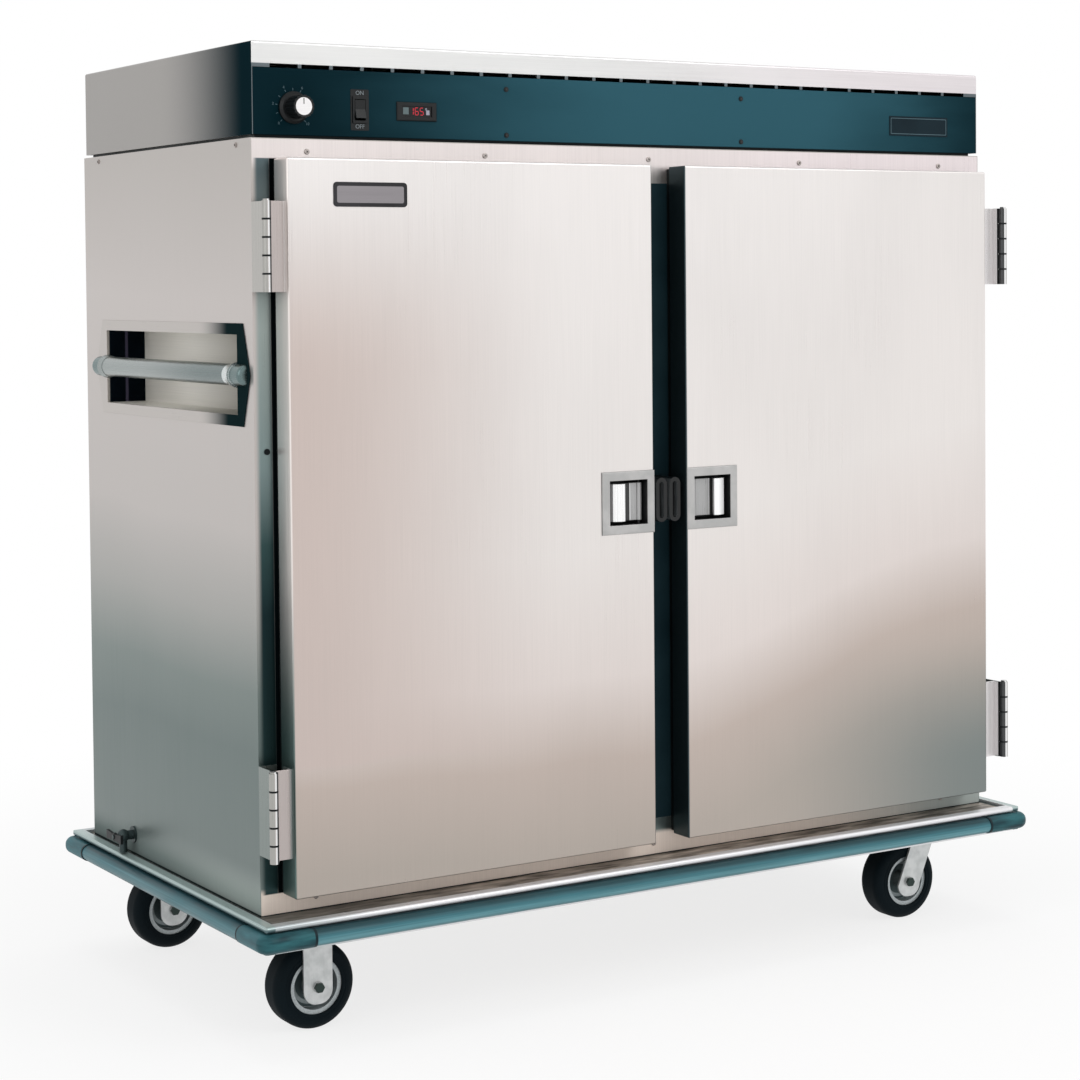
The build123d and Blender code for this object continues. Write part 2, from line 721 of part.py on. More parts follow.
def make_hinges():
    axis_x = LEAF - KNUCKLE_RADIUS - half_width
    axis_y = door_front + LEAF - KNUCKLE_RADIUS
    frame_side = []
    door_side = []
    segment = (HINGE_HEIGHT - (KNUCKLE_COUNT - 1) * KNUCKLE_GAP) / KNUCKLE_COUNT
    web_x = axis_x + LEAF_START
    plate_y = door_front + HINGE_SETBACK
    for middle in (deck_top + HINGE_LOWER, body_top - HINGE_UPPER):
        low = middle - HINGE_HEIGHT / 2
        high = low + HINGE_HEIGHT
        fixed = block(-half_width, LEAF - half_width, axis_y + LEAF_START, front, low, high)
        fixed += block(-half_width, FRAME_FLANGE - half_width, front - LEAF, front, low, high)
        swung = block(web_x, web_x + LEAF, door_front, plate_y + LEAF, low, high)
        swung += block(web_x, -door_outer, plate_y, plate_y + LEAF, low, high)
        swung += block(-door_outer - LEAF, -door_outer, plate_y, door_front + DOOR_FLANGE, low, high)
        for number in range(KNUCKLE_COUNT):
            base = low + number * (segment + KNUCKLE_GAP)
            knuckle = rod_z(axis_x, axis_y, base, base + segment, KNUCKLE_RADIUS)
            if number % 2 == 0:
                fixed += knuckle
                fixed += block(-half_width, LEAF - half_width, axis_y, axis_y + LEAF_START, base, base + segment)
            else:
                swung += knuckle
                swung += block(axis_x, web_x, door_front, door_front + LEAF, base, base + segment)
        bore = rod_z(axis_x, axis_y, low - 1, high + 1, PIN_RADIUS + RUNNING)
        pin = rod_z(axis_x, axis_y, low, high + PIN_HEAD_HEIGHT, PIN_RADIUS)
        pin += rod_z(axis_x, axis_y, high, high + PIN_HEAD_HEIGHT, PIN_HEAD)
        frame_side.extend([fixed - bore, pin])
        door_side.append(swung - bore)
    save("frame_hinge_leaves", *frame_side, *[mirrored(piece) for piece in frame_side])
    save("left_door_hinge_leaves", *door_side)
    save("right_door_hinge_leaves", *[mirrored(piece) for piece in door_side])


# Doors and latches, built for the left door and mirrored

pivot_x = -door_inner - BEZEL / 2 + CUP_WIDTH / 2 - PIVOT_INSET
pivot_y = door_front + PIVOT_DEPTH
bolt_near = pivot_y + BOLT_BEHIND_PIVOT
bolt_far = bolt_near + LATCH_BOLT_THICKNESS
cup_left = -door_inner - BEZEL / 2 - CUP_WIDTH / 2
cup_right = cup_left + CUP_WIDTH


def cup_block(spare, depth):
    """The latch cup's room in the door, from the door's front to a depth."""
    half = CUP_HEIGHT / 2 + spare
    return block(cup_left - spare, cup_right + spare, door_front, door_front + depth, latch_z - half, latch_z + half)


def bolt_way(x0, x1, spare):
    """The straight way that the latch bolt slides along."""
    half = LATCH_BOLT_HEIGHT / 2 + spare
    return block(x0, x1, bolt_near - spare, bolt_far + spare, latch_z - half, latch_z + half)


def door_box(inset, y0, y1):
    return block(inset - door_outer, -door_inner - inset, y0, y1, door_low + inset, door_high - inset)


def door_pan(inset, near, far, radius):
    """A door-shaped block with the rounded front edges and corners of folded sheet."""
    pan = door_box(inset, near, far)
    folds = pan.faces().sort_by(Axis.Y)[0].edges() + pan.edges().filter_by(Axis.Y)
    return fillet(folds, radius)


def door_skin():
    skin = door_pan(0, door_front, door_back, DOOR_FOLD)
    skin -= door_pan(SHEET, door_front + SHEET, door_back + 1, DOOR_FOLD - SHEET)
    skin -= cup_block(CUP_WALL + PACKING_GAP, SHEET + 1)
    return skin - bolt_way(-door_inner - 2 * SHEET, 1 - door_inner, SLIDING)


def door_core():
    inset = SHEET + PACKING_GAP
    core = door_box(inset, door_front + inset, door_back - inset)
    core -= cup_block(CUP_WALL + PACKING_GAP, CUP_DEPTH + PACKING_GAP)
    return core - bolt_way(cup_right, -door_inner, 2 * SLIDING)


def door_liner():
    liner = door_box(SHEET, door_back - SHEET, door_back)
    return fillet(liner.edges().filter_by(Axis.Y), DOOR_FOLD - SHEET)


def door_gasket():
    edge = GASKET_INSET + GASKET_WIDTH
    seal = door_box(GASKET_INSET, door_back, front - SEAL_GAP)
    return seal - door_box(edge, door_back - 1, front + 1)


def latch_housing():
    half = BEZEL / 2
    face = door_front - BEZEL_PROUD
    housing = block(-door_inner - BEZEL, -door_inner, face, door_front, latch_z - half, latch_z + half)
    front_edges = housing.faces().sort_by(Axis.Y)[0].edges()
    housing = chamfer(front_edges, BEZEL_PROUD / 2)
    housing += cup_block(CUP_WALL, CUP_DEPTH)
    housing -= cup_block(0, CUP_DEPTH - CUP_WALL)
    half_cup = CUP_HEIGHT / 2
    housing -= block(cup_left, cup_right, face - 1, door_front, latch_z - half_cup, latch_z + half_cup)
    housing -= bolt_way(cup_right - 1, cup_right + CUP_WALL + 1, SLIDING)
    return housing + rod_z(pivot_x, pivot_y, latch_z - half_cup - 1, latch_z + half_cup + 1, PIVOT_PIN)


def latch_paddle():
    """A recessed plate on a barrel, with an overhanging finger bar and a lug that draws the bolt."""
    low = latch_z - PADDLE_HEIGHT / 2
    high = latch_z + PADDLE_HEIGHT / 2
    near = pivot_y - PADDLE_PLATE / 2
    far = pivot_y + PADDLE_PLATE / 2
    tip = pivot_x - PADDLE_REACH
    crest = door_front - BEZEL_PROUD / 2
    bar_root = tip + BAR_WIDTH
    bar = [(tip, far), (tip, near), (tip + BAR_TOE, crest + BAR_TOE_DROP), (bar_root - BAR_CREST, crest)]
    bar += [(bar_root + BAR_HOOK, crest + BAR_HOOK_DROP), (bar_root, near), (bar_root, far)]
    paddle = prism_z(bar, low, high)
    paddle += block(bar_root - 1, pivot_x, near, far, low, high)
    paddle += rod_z(pivot_x, pivot_y, low, high, BARREL_RADIUS)
    lug = LATCH_BOLT_HEIGHT / 2 - LUG_INSET
    paddle += block(pivot_x - LUG_WIDTH / 2, pivot_x + LUG_WIDTH / 2, pivot_y, pivot_y + LUG_REACH,
                    latch_z - lug, latch_z + lug)
    return paddle - rod_z(pivot_x, pivot_y, low - 1, high + 1, PIVOT_PIN + RUNNING)


def latch_bolt():
    """A bar with a bevelled nose, and a slot that the paddle's lug works in."""
    nose = BOLT_TRAVEL - door_inner
    tail = pivot_x - LATCH_BOLT_TAIL
    bevel = LATCH_BOLT_BEVEL
    points = [(tail, bolt_near), (nose, bolt_near), (nose, bolt_far - bevel), (nose - bevel, bolt_far), (tail, bolt_far)]
    half = LATCH_BOLT_HEIGHT / 2
    bolt = prism_z(points, latch_z - half, latch_z + half)
    left = pivot_x - LUG_WIDTH / 2 - 2 * SLIDING
    right = pivot_x + LUG_WIDTH / 2 + BOLT_TRAVEL - 1
    slot = half - LUG_INSET + SLIDING
    return bolt - block(left, right, bolt_near - 1, bolt_far + 1, latch_z - slot, latch_z + slot)


def make_doors():
    pieces = {
        "door_skin": door_skin(),
        "door_core": door_core(),
        "door_liner": door_liner(),
        "door_gasket": door_gasket(),
        "latch_housing": latch_housing(),
        "latch_paddle": latch_paddle(),
        "latch_bolt": latch_bolt(),
    }
    for name, piece in pieces.items():
        save(f"left_{name}", piece)
        save(f"right_{name}", mirrored(piece))


def make_strikes():
    x = -(STRIKE_GAP + STRIKE_WIDTH) / 2
    loop = Rot(0, 0, 90) * SlotOverall(STRIKE_HEIGHT, STRIKE_WIDTH)
    groove = Rot(0, 0, 90) * SlotOverall(STRIKE_HEIGHT - STRIKE_WIDTH + STRIKE_GROOVE, STRIKE_GROOVE)
    strike = Pos(x, front, latch_z) * extrude(Plane.XZ * loop, amount=STRIKE_DEPTH)
    cut = extrude(Plane.XZ * groove, amount=STRIKE_GROOVE_DEPTH)
    strike -= Pos(x, front - STRIKE_DEPTH + STRIKE_GROOVE_DEPTH, latch_z) * cut
    save("latch_strikes", strike, mirrored(strike))


# Side handles

def make_handles():
    flat_near = handle_near + HANDLE_POINT
    flat_far = handle_far - HANDLE_POINT
    half = HANDLE_BEZEL_HEIGHT / 2
    points = [(handle_near, handle_z), (flat_near, handle_z - half), (flat_far, handle_z - half)]
    points += [(handle_far, handle_z), (flat_far, handle_z + half), (flat_near, handle_z + half)]
    face = -half_width - HANDLE_BEZEL
    back = POCKET_DEPTH - half_width
    pocket = prism_x(points, face, -half_width)
    pocket += pocket_block(-half_width, back, 0)
    pocket -= pocket_block(face - 1, back - SHEET, -SHEET)
    save("handle_pockets", pocket, mirrored(pocket))
    near = pocket_near + SHEET
    far = pocket_far - SHEET
    bar = rod_y(-half_width, handle_z, near, far, BAR_RADIUS)
    collar = Cone(COLLAR_NECK, COLLAR_RADIUS, COLLAR_LENGTH)
    bar += Pos(-half_width, far - COLLAR_LENGTH / 2, handle_z) * Rot(-90, 0, 0) * collar
    bar += Pos(-half_width, near + COLLAR_LENGTH / 2, handle_z) * Rot(90, 0, 0) * collar
    boss = rod_y(-half_width, handle_z, near - BAR_OVERLAP, far + BAR_OVERLAP, BAR_RADIUS)
    boss = fillet(boss.edges().filter_by(GeomType.CIRCLE), BOSS_ROUND)
    outside = block(face - 2 * BAR_RADIUS, face, handle_near, handle_far, handle_z - half, handle_z + half)
    bar += boss & outside
    bar -= rod_y(-half_width, handle_z, near - 1, far + 1, BAR_RADIUS - BAR_WALL) - outside
    save("handle_bars", bar, mirrored(bar))


# Hood

def folded_top(solid, radius):
    return fillet(solid.faces().sort_by(Axis.Z)[-1].edges(), radius)


def make_hood():
    inset = HOOD_BASE_INSET
    side = half_width - inset
    base = block(-side, side, front + inset, rear - inset, body_top, hood_bottom)
    edge = inset + SHEET
    base -= block(SHEET - side, side - SHEET, front + edge, rear - edge, body_top - 1, hood_bottom - SHEET)
    base -= air_ports(body_top - 1, hood_bottom + 1)
    save("hood_base", base)
    inner = hood_side - SHEET
    back = rear - HOOD_INSET
    shell = folded_top(block(-hood_side, hood_side, front, back, hood_bottom, hood_top), HOOD_FOLD)
    room = block(-inner, inner, front + SHEET, back - SHEET, hood_bottom + SHEET, hood_top - SHEET)
    shell -= folded_top(room, HOOD_FOLD - SHEET)
    lip = inner - HOOD_LIP
    shell -= block(-lip, lip, front - 1, back - SHEET - HOOD_LIP, hood_bottom - 1, hood_bottom + SHEET + 1)
    shell -= block(-inner, inner, front - 1, front + HOOD_LIP + SHEET, hood_bottom - 1, panel_top)
    count = int(2 * (hood_side - SLOT_MARGIN) / SLOT_PITCH)
    high = panel_top + SLOT_HEIGHT
    half = SLOT_LENGTH / 2
    for number in range(count):
        x = (number - (count - 1) / 2) * SLOT_PITCH
        shell -= block(x - half, x + half, front - 1, front + SHEET + 1, panel_top - 1, high)
    shell -= rear_inlet_hole()
    save("hood_shell", shell)


def rear_inlet_hole():
    half_x = INLET_SOCKET_X / 2 + SHEET
    half_z = INLET_SOCKET_Z / 2 + SHEET
    back = rear - HOOD_INSET
    return block(inlet_x - half_x, inlet_x + half_x, back - 2 * SHEET, back + 1, control_z - half_z, control_z + half_z)


def panel_hole(x, half_x, half_z):
    return block(x - half_x, x + half_x, front - 1, front + SHEET + 1, control_z - half_z, control_z + half_z)


def make_control_panel():
    side = hood_side - SHEET - PANEL_GAP
    high = panel_top - PANEL_GAP
    panel = block(-side, side, front, front + SHEET, hood_bottom, high)
    panel += block(-side, side, front, front + PANEL_RETURN, hood_bottom, hood_bottom + SHEET)
    panel += block(-side, side, front, front + PANEL_RETURN, high - SHEET, high)
    panel -= rod_y(knob_x, control_z, front - 1, front + SHEET + 1, SHAFT_RADIUS + SLIDING)
    panel -= panel_hole(switch_x, SWITCH_BODY_X / 2, SWITCH_BODY_Z / 2)
    panel -= panel_hole(display_x, DISPLAY_BODY_X / 2, DISPLAY_BODY_Z / 2)
    save("control_panel", panel)


def make_controls():
    size = THERMOSTAT_SIZE / 2
    inside = front + SHEET
    body = block(knob_x - size, knob_x + size, inside, inside + THERMOSTAT_DEPTH, control_z - size / 2, control_z + size)
    save("thermostat", body + rod_y(knob_x, control_z, front - SHAFT_LENGTH, inside, SHAFT_RADIUS))
    back = front - KNOB_LIFT
    knob = rod_y(knob_x, control_z, back - KNOB_SKIRT, back, KNOB_SKIRT_RADIUS)
    knob = chamfer(knob.faces().sort_by(Axis.Y)[0].edges(), KNOB_SKIRT / 2)
    knob += Pos(knob_x, back, control_z) * Rot(90, 0, 0) * knob_grip()
    knob -= rod_y(knob_x, control_z, front - SHAFT_LENGTH - 1, front, SHAFT_RADIUS + RUNNING)
    save("thermostat_knob", knob)
    make_switch()
    make_thermometer()


def knob_grip():
    """The fluted grip, standing on its skirt along Z, with a dimple for its face disc."""
    grip = rod_z(0, 0, 0, KNOB_LENGTH, KNOB_RADIUS)
    flute = Pos(0, 0, KNOB_LENGTH / 2) * Cylinder(FLUTE_RADIUS, KNOB_LENGTH)
    grip -= PolarLocations(KNOB_RADIUS + FLUTE_RADIUS / 2, KNOB_FLUTES) * flute
    return grip - rod_z(0, 0, KNOB_LENGTH - KNOB_DIMPLE_DEPTH, KNOB_LENGTH + 1, KNOB_DIMPLE)


def box_at(x, half_x, half_z, y0, y1):
    return block(x - half_x, x + half_x, y0, y1, control_z - half_z, control_z + half_z)


def make_switch():
    x = switch_x
    face = front - SWITCH_PROUD
    pivot = front + ROCKER_PIVOT
    room = ROCKER_Z / 2 + SLIDING
    housing = box_at(x, SWITCH_BEZEL_X / 2, SWITCH_BEZEL_Z / 2, face, front)
    housing += box_at(x, SWITCH_BODY_X / 2 - RUNNING, SWITCH_BODY_Z / 2 - RUNNING, front, front + SWITCH_DEPTH)
    housing -= box_at(x, ROCKER_X / 2 + SLIDING, room, face - 1, front + SWITCH_DEPTH - 2 * SHEET)
    housing += rod_x(pivot, control_z, x - ROCKER_X / 2 - 1, x + ROCKER_X / 2 + 1, ROCKER_PIN)
    save("switch_housing", housing)
    half = ROCKER_Z / 2 - ROCKER_ROOM
    rise = half * sin(radians(ROCKER_TILT))
    points = [(face - rise, control_z - half), (face, control_z), (face - rise, control_z + half)]
    points += [(pivot, control_z + half - rise), (pivot + ROCKER_PIVOT, control_z), (pivot, control_z - half + rise)]
    rocker = prism_x(points, x - ROCKER_X / 2, x + ROCKER_X / 2)
    rocker -= rod_x(pivot, control_z, x - ROCKER_X, x + ROCKER_X, ROCKER_PIN + RUNNING)
    hinge = Pos(x, pivot, control_z)
    save("power_rocker", hinge * Rot(-ROCKER_TILT, 0, 0) * Pos(-x, -pivot, -control_z) * rocker)


def make_thermometer():
    face = front - DISPLAY_PROUD
    meter = box_at(display_x, DISPLAY_BEZEL_X / 2, DISPLAY_BEZEL_Z / 2, face, front)
    meter = chamfer(meter.faces().sort_by(Axis.Y)[0].edges(), DISPLAY_PROUD / 2)
    body_x = DISPLAY_BODY_X / 2 - RUNNING
    meter += box_at(display_x, body_x, DISPLAY_BODY_Z / 2 - RUNNING, front, front + DISPLAY_DEPTH)
    meter -= box_at(display_x, DISPLAY_WINDOW_X / 2, DISPLAY_WINDOW_Z / 2, face - 1, face + DISPLAY_RECESS)
    save("thermometer", meter)


def make_power_inlet():
    back = rear - HOOD_INSET
    half_x = INLET_PLATE_X / 2
    half_z = INLET_PLATE_Z / 2
    socket_x = INLET_SOCKET_X / 2
    socket_z = INLET_SOCKET_Z / 2
    inlet = box_at(inlet_x, half_x, half_z, back, back + INLET_PLATE)
    inlet += box_at(inlet_x, socket_x + SHEET - RUNNING, socket_z + SHEET - RUNNING, back - INLET_DEPTH, back)
    inlet -= box_at(inlet_x, socket_x, socket_z, back - INLET_DEPTH + SHEET, back + INLET_PLATE + 1)
    floor = back - INLET_DEPTH
    for number in (-1, 0, 1):
        x = inlet_x + number * INLET_PIN_SPACING
        inlet += rod_y(x, control_z, floor, floor + SHEET + INLET_PIN_LENGTH, INLET_PIN_RADIUS)
    save("power_inlet", inlet)


# Blower and heater, standing on the hood's base

def make_blower():
    x = BLOWER_X
    y = middle_y
    low = hood_bottom
    high = low + HOUSING_HEIGHT
    outer = HOUSING_RADIUS
    wall = HOUSING_WALL
    shell = rod_z(x, y, low, high, outer)
    shell += block(x - outer - OUTLET_LENGTH, x, y + outer - OUTLET_WIDTH, y + outer, low, high)
    room = rod_z(x, y, low + wall, high - wall, outer - wall)
    room += block(x - outer - OUTLET_LENGTH - 1, x, y + outer - OUTLET_WIDTH + wall, y + outer - wall,
                  low + wall, high - wall)
    shell -= room
    shell -= rod_z(x, y, high - wall - 1, high + 1, INLET_RADIUS)
    bridge = block(x - outer + wall, x + outer - wall, y - POST_WIDTH / 2, y + POST_WIDTH / 2, high, high + wall)
    bridge -= rod_z(x, y, high - 1, high + wall + 1, MOTOR_SHAFT + SLIDING)
    save("blower_housing", shell + bridge)
    motor_low = high + wall
    motor = rod_z(x, y, motor_low, motor_low + MOTOR_HEIGHT, MOTOR_RADIUS)
    motor = chamfer(motor.faces().sort_by(Axis.Z)[-1].edges(), MOTOR_SHAFT)
    wheel_low = low + wall + MOTOR_CLEARANCE
    save("blower_motor", motor + rod_z(x, y, wheel_low, motor_low, MOTOR_SHAFT))
    save("blower_wheel", blower_wheel(x, y, wheel_low))


def blower_wheel(x, y, low):
    """A cage of blades between a back plate and a ring, on a bored hub."""
    high = low + BLOWER_HEIGHT
    plate = rod_z(0, 0, 0, BLADE_THICKNESS, BLOWER_RADIUS)
    hub = rod_z(0, 0, 0, BLOWER_HEIGHT / 2, 3 * MOTOR_SHAFT)
    ring = rod_z(0, 0, BLOWER_HEIGHT - BLADE_THICKNESS, BLOWER_HEIGHT, BLOWER_RADIUS)
    ring -= rod_z(0, 0, 0, BLOWER_HEIGHT + 1, BLOWER_RADIUS - BLADE_DEPTH)
    wheel = plate + hub + ring
    middle = BLOWER_RADIUS - BLADE_DEPTH / 2 - 1
    blade = Pos(middle, 0, (high - low) / 2) * Box(BLADE_DEPTH - 2, BLADE_THICKNESS, BLOWER_HEIGHT)
    for number in range(BLOWER_BLADES):
        wheel += Rot(0, 0, 360 * number / BLOWER_BLADES) * blade
    wheel -= rod_z(0, 0, -1, BLOWER_HEIGHT, MOTOR_SHAFT + RUNNING)
    return Pos(x, y, low) * wheel


def heater(y):
    """A hairpin of heating tube held in a terminal block and an end bracket."""
    z = hood_bottom + HEATER_LIFT
    near = HEATER_X
    far = HEATER_X - HEATER_SPAN
    half = HEATER_WIDTH / 2
    tube = rod_x(y - half, z, far + half, near, HEATER_TUBE) + rod_x(y + half, z, far + half, near, HEATER_TUBE)
    bend = Pos(far + half, y, z) * Torus(half, HEATER_TUBE)
    tube += bend & block(far - half, far + half, y - 2 * half, y + 2 * half, z - half, z + half)
    width = half + 3 * HEATER_TUBE
    tube += block(near, near + HEATER_BLOCK_X, y - width, y + width, hood_bottom, hood_bottom + HEATER_BLOCK_Z)
    foot = far + half + HEATER_BLOCK_X
    return tube + block(foot, foot + SHEET, y - width, y + width, hood_bottom, z + 2 * HEATER_TUBE)


def make_heaters():
    y = HEATER_SPACING / 2
    save("heating_elements", heater(middle_y - y), heater(middle_y + y))


# Shelves and their uprights

def shelf_levels():
    tier = (liner_top - liner_floor) / (SHELF_COUNT + 1)
    return [liner_floor + tier * (number + 1) for number in range(SHELF_COUNT)]


def wire_shelf(z):
    """An open wire shelf for the left bay, with a rim and crossing wires."""
    x0 = -liner_side + POST_DEPTH + SHELF_PLAY
    x1 = -POST_DEPTH - SHELF_PLAY
    y0 = front + MULLION_DEPTH + SHELF_FRONT
    y1 = liner_back - SHELF_BACK
    pitch_x = (x1 - x0 - SHELF_RIM) / SHELF_COLUMNS
    pitch_y = (y1 - y0 - SHELF_RIM) / SHELF_ROWS
    plan = Pos((x0 + x1) / 2, (y0 + y1) / 2) * Rectangle(x1 - x0, y1 - y0)
    holes = GridLocations(pitch_x, pitch_y, SHELF_COLUMNS, SHELF_ROWS)
    mesh = Rectangle(pitch_x - SHELF_WIRE, pitch_y - SHELF_WIRE)
    plan -= [Pos((x0 + x1) / 2, (y0 + y1) / 2) * spot * mesh for spot in holes]
    return Pos(0, 0, z) * extrude(plan, amount=SHELF_WIRE)


def upright(x0, x1, y, reaches):
    """A post from floor to ceiling, with a clip under each shelf on the sides given."""
    half = POST_WIDTH / 2
    post = block(x0, x1, y - half, y + half, liner_floor, liner_top)
    post -= block(x0 + SHEET, x1 - SHEET, y - half + SHEET, y + half - SHEET, liner_floor - 1, liner_top + 1)
    for z in shelf_levels():
        for side in reaches:
            edge = x1 if side > 0 else x0
            ends = sorted((edge, edge + side * CLIP_REACH))
            post += block(ends[0], ends[1], y - half, y + half, z - CLIP_HEIGHT, z)
    return post


def make_shelves():
    shelves = [wire_shelf(z) for z in shelf_levels()]
    save("shelves", *shelves, *[mirrored(shelf) for shelf in shelves])
    posts = []
    for y in (front + MULLION_DEPTH + POST_SETBACK, liner_back - POST_SETBACK):
        side = upright(-liner_side, POST_DEPTH - liner_side, y, (1,))
        posts.extend([side, mirrored(side), upright(-POST_DEPTH, POST_DEPTH, y, (-1, 1))])
    save("shelf_uprights", *posts)


# Drain cock

def make_drain():
    z = deck_top + DRAIN_LIFT
    side = -half_width
    body_x = side - DRAIN_REACH
    inside = side + SHEET + SIDE_WALL / 2
    valve = rod_x(drain_y, z, body_x, inside, DRAIN_PIPE - RUNNING)
    valve += rod_x(drain_y, z, side - DRAIN_FLANGE_THICKNESS, side, DRAIN_FLANGE)
    valve += Pos(body_x, drain_y, z) * Sphere(DRAIN_BODY)
    spout_end = channel_top + DRAIN_SPOUT_GAP
    valve += rod_z(body_x, drain_y, spout_end, z, DRAIN_SPOUT)
    valve -= rod_z(body_x, drain_y, spout_end - 1, z - DRAIN_BODY, DRAIN_SPOUT - SHEET)
    ball_end = body_x - DRAIN_BODY
    valve += rod_x(drain_y, z, ball_end - DRAIN_STEM_LENGTH, body_x, DRAIN_STEM)
    save("drain_valve", valve)
    save("drain_handle", drain_wing(ball_end - WING_LIFT, z))


def drain_wing(x, z):
    """A two-eared handle that turns on the valve's stem, flat against the side."""
    half = WING_LENGTH / 2
    waist = WING_WAIST / 2
    end = WING_END / 2
    points = [(drain_y - half, z - end), (drain_y, z - waist), (drain_y + half, z - end)]
    points += [(drain_y + half, z + end), (drain_y, z + waist), (drain_y - half, z + end)]
    wing = prism_x(points, x - WING_THICKNESS, x)
    wing += rod_x(drain_y, z, x - WING_THICKNESS, x, WING_HUB)
    return wing - rod_x(drain_y, z, x - WING_THICKNESS - 1, x + 1, DRAIN_STEM + RUNNING)


# Screws on the front frame's rails

def make_screws():
    screws = []
    span = half_width - SCREW_END
    for count, z in ((TOP_SCREWS, body_top - SCREW_EDGE), (BOTTOM_SCREWS, deck_top + SCREW_EDGE)):
        for number in range(count):
            x = -span + 2 * span * number / (count - 1)
            head = rod_y(x, z, front - SCREW_HEAD_HEIGHT, front, SCREW_HEAD)
            screws.append(fillet(head.faces().sort_by(Axis.Y)[0].edges(), SCREW_ROUND))
    save("cabinet_screws", *screws)


os.makedirs("parts", exist_ok=True)
make_outer_casing()
make_front_frame()
make_inner_liner()
make_insulation()
make_base_chassis()
make_bumper()
make_casters()
make_hinges()
make_doors()
make_strikes()
make_handles()
make_hood()
make_control_panel()
make_controls()
make_power_inlet()
make_blower()
make_heaters()
make_shelves()
make_drain()
make_screws()
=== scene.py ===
import json
import math

import bmesh
import bpy
from mathutils import Matrix, Vector


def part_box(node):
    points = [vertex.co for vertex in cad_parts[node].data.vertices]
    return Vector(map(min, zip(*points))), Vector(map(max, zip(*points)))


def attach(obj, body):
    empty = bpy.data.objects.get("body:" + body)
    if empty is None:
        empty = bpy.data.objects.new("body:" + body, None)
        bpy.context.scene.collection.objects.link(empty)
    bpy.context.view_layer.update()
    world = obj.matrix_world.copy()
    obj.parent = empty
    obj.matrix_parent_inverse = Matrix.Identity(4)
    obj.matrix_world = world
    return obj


# The looks of a heated banquet cart, in metres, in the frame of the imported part.

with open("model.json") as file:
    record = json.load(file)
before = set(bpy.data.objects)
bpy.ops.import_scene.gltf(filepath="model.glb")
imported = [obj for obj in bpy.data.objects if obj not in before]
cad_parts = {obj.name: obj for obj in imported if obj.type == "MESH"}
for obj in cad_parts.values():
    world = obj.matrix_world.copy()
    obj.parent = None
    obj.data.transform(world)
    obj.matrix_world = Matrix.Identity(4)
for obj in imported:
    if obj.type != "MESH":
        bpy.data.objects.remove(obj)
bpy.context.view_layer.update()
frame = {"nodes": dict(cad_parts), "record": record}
nodes = frame["nodes"]

# Camera, fitted to the photograph
CAMERA_PLACE = Vector((-2.3205, -3.7401, 1.1798))
CAMERA_YAW = 32.181
CAMERA_PITCH = 1.994
CAMERA_ROLL = -0.497
CAMERA_LENS = 81.53
CAMERA_SHIFT = (-0.0225, -0.1615)
CAMERA_SENSOR = 36.0
CAMERA_REACH = 100.0

# Studio
FLOOR_SIZE = 40.0
FLOOR_NEAR = 0.9
FLOOR_FAR = 2.2
FLOOR_GLOW = 0.78
WORLD_LEVEL = 0.72

# Places on the part
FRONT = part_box("front_frame")[0][1]
STILE_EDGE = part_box("front_frame")[1][0]
DOOR_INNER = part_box("right_door_skin")[0][0]
DOOR_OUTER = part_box("right_door_skin")[1][0]
DOOR_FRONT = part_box("left_door_skin")[0][1]
DOOR_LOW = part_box("left_door_skin")[0][2]
DOOR_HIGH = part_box("left_door_skin")[1][2]
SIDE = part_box("outer_casing")[1][0]
DECK_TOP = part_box("base_chassis")[1][2]
BEAD_INNER = SIDE + 0.0105
BUMPER_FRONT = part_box("bumper_channels")[0][1]
CAP_LEG = 0.095
CAP_LIP = 0.004
PANEL_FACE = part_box("control_panel")[0][1]
PANEL_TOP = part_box("control_panel")[1][2]
HANDLE_END = 0.2695
HANDLE_COLLAR = 0.0255

# Heights between which the painted reflection on the upright sheets changes their tone
SHEET_LOW = 0.20
SHEET_HIGH = 1.40

# Hinges
KNUCKLE = 0.0070
KNUCKLES = 5
HINGE_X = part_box("right_door_hinge_leaves")[1][0] - KNUCKLE
HINGE_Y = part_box("frame_hinge_leaves")[0][1] + KNUCKLE
HINGE_HEIGHT = 0.138
SEAM_PROUD = 0.00015
SEAM_HALF = 0.0015

# Wheels
HUB_RING = (0.0275, 0.0325)
HUB_RIM = 0.0370
HUB_CENTRE = 0.0158
TYRE_RINGS = (0.0475, 0.0525)
TYRE_RING_HALF = 0.0008
TYRE_RING_PROUD = 0.0006

# Small pieces: the height of a mark, the thickness of a plate, and the steps of a round outline
MARK = 0.0002
PLATE = 0.0010
ROUND_STEPS = 48
SMALL_STEPS = 24

# Knob and dial
KNOB_DISC = 0.0136
KNOB_DISC_DEPTH = 0.0008
POINTER_LIFT = 0.0080
POINTER_SIZE = (0.0090, 0.0014)
DIAL_MARKS = 11
DIAL_START = 225
DIAL_STEP = 27
TICK_RADIUS = 0.0285
TICK_SIZE = (0.0036, 0.0010)
NUMBER_RADIUS = 0.0345
NUMBER_SIZE = 0.0062

# Switch plate
SWITCH_PLATE = (0.0320, 0.0640)
SWITCH_ROUND = 0.0020
SWITCH_HOLE_ROUND = 0.0010
SWITCH_SHEET = 0.0006
WORD_LIFT = 0.0262
WORD_SIZE = 0.0092

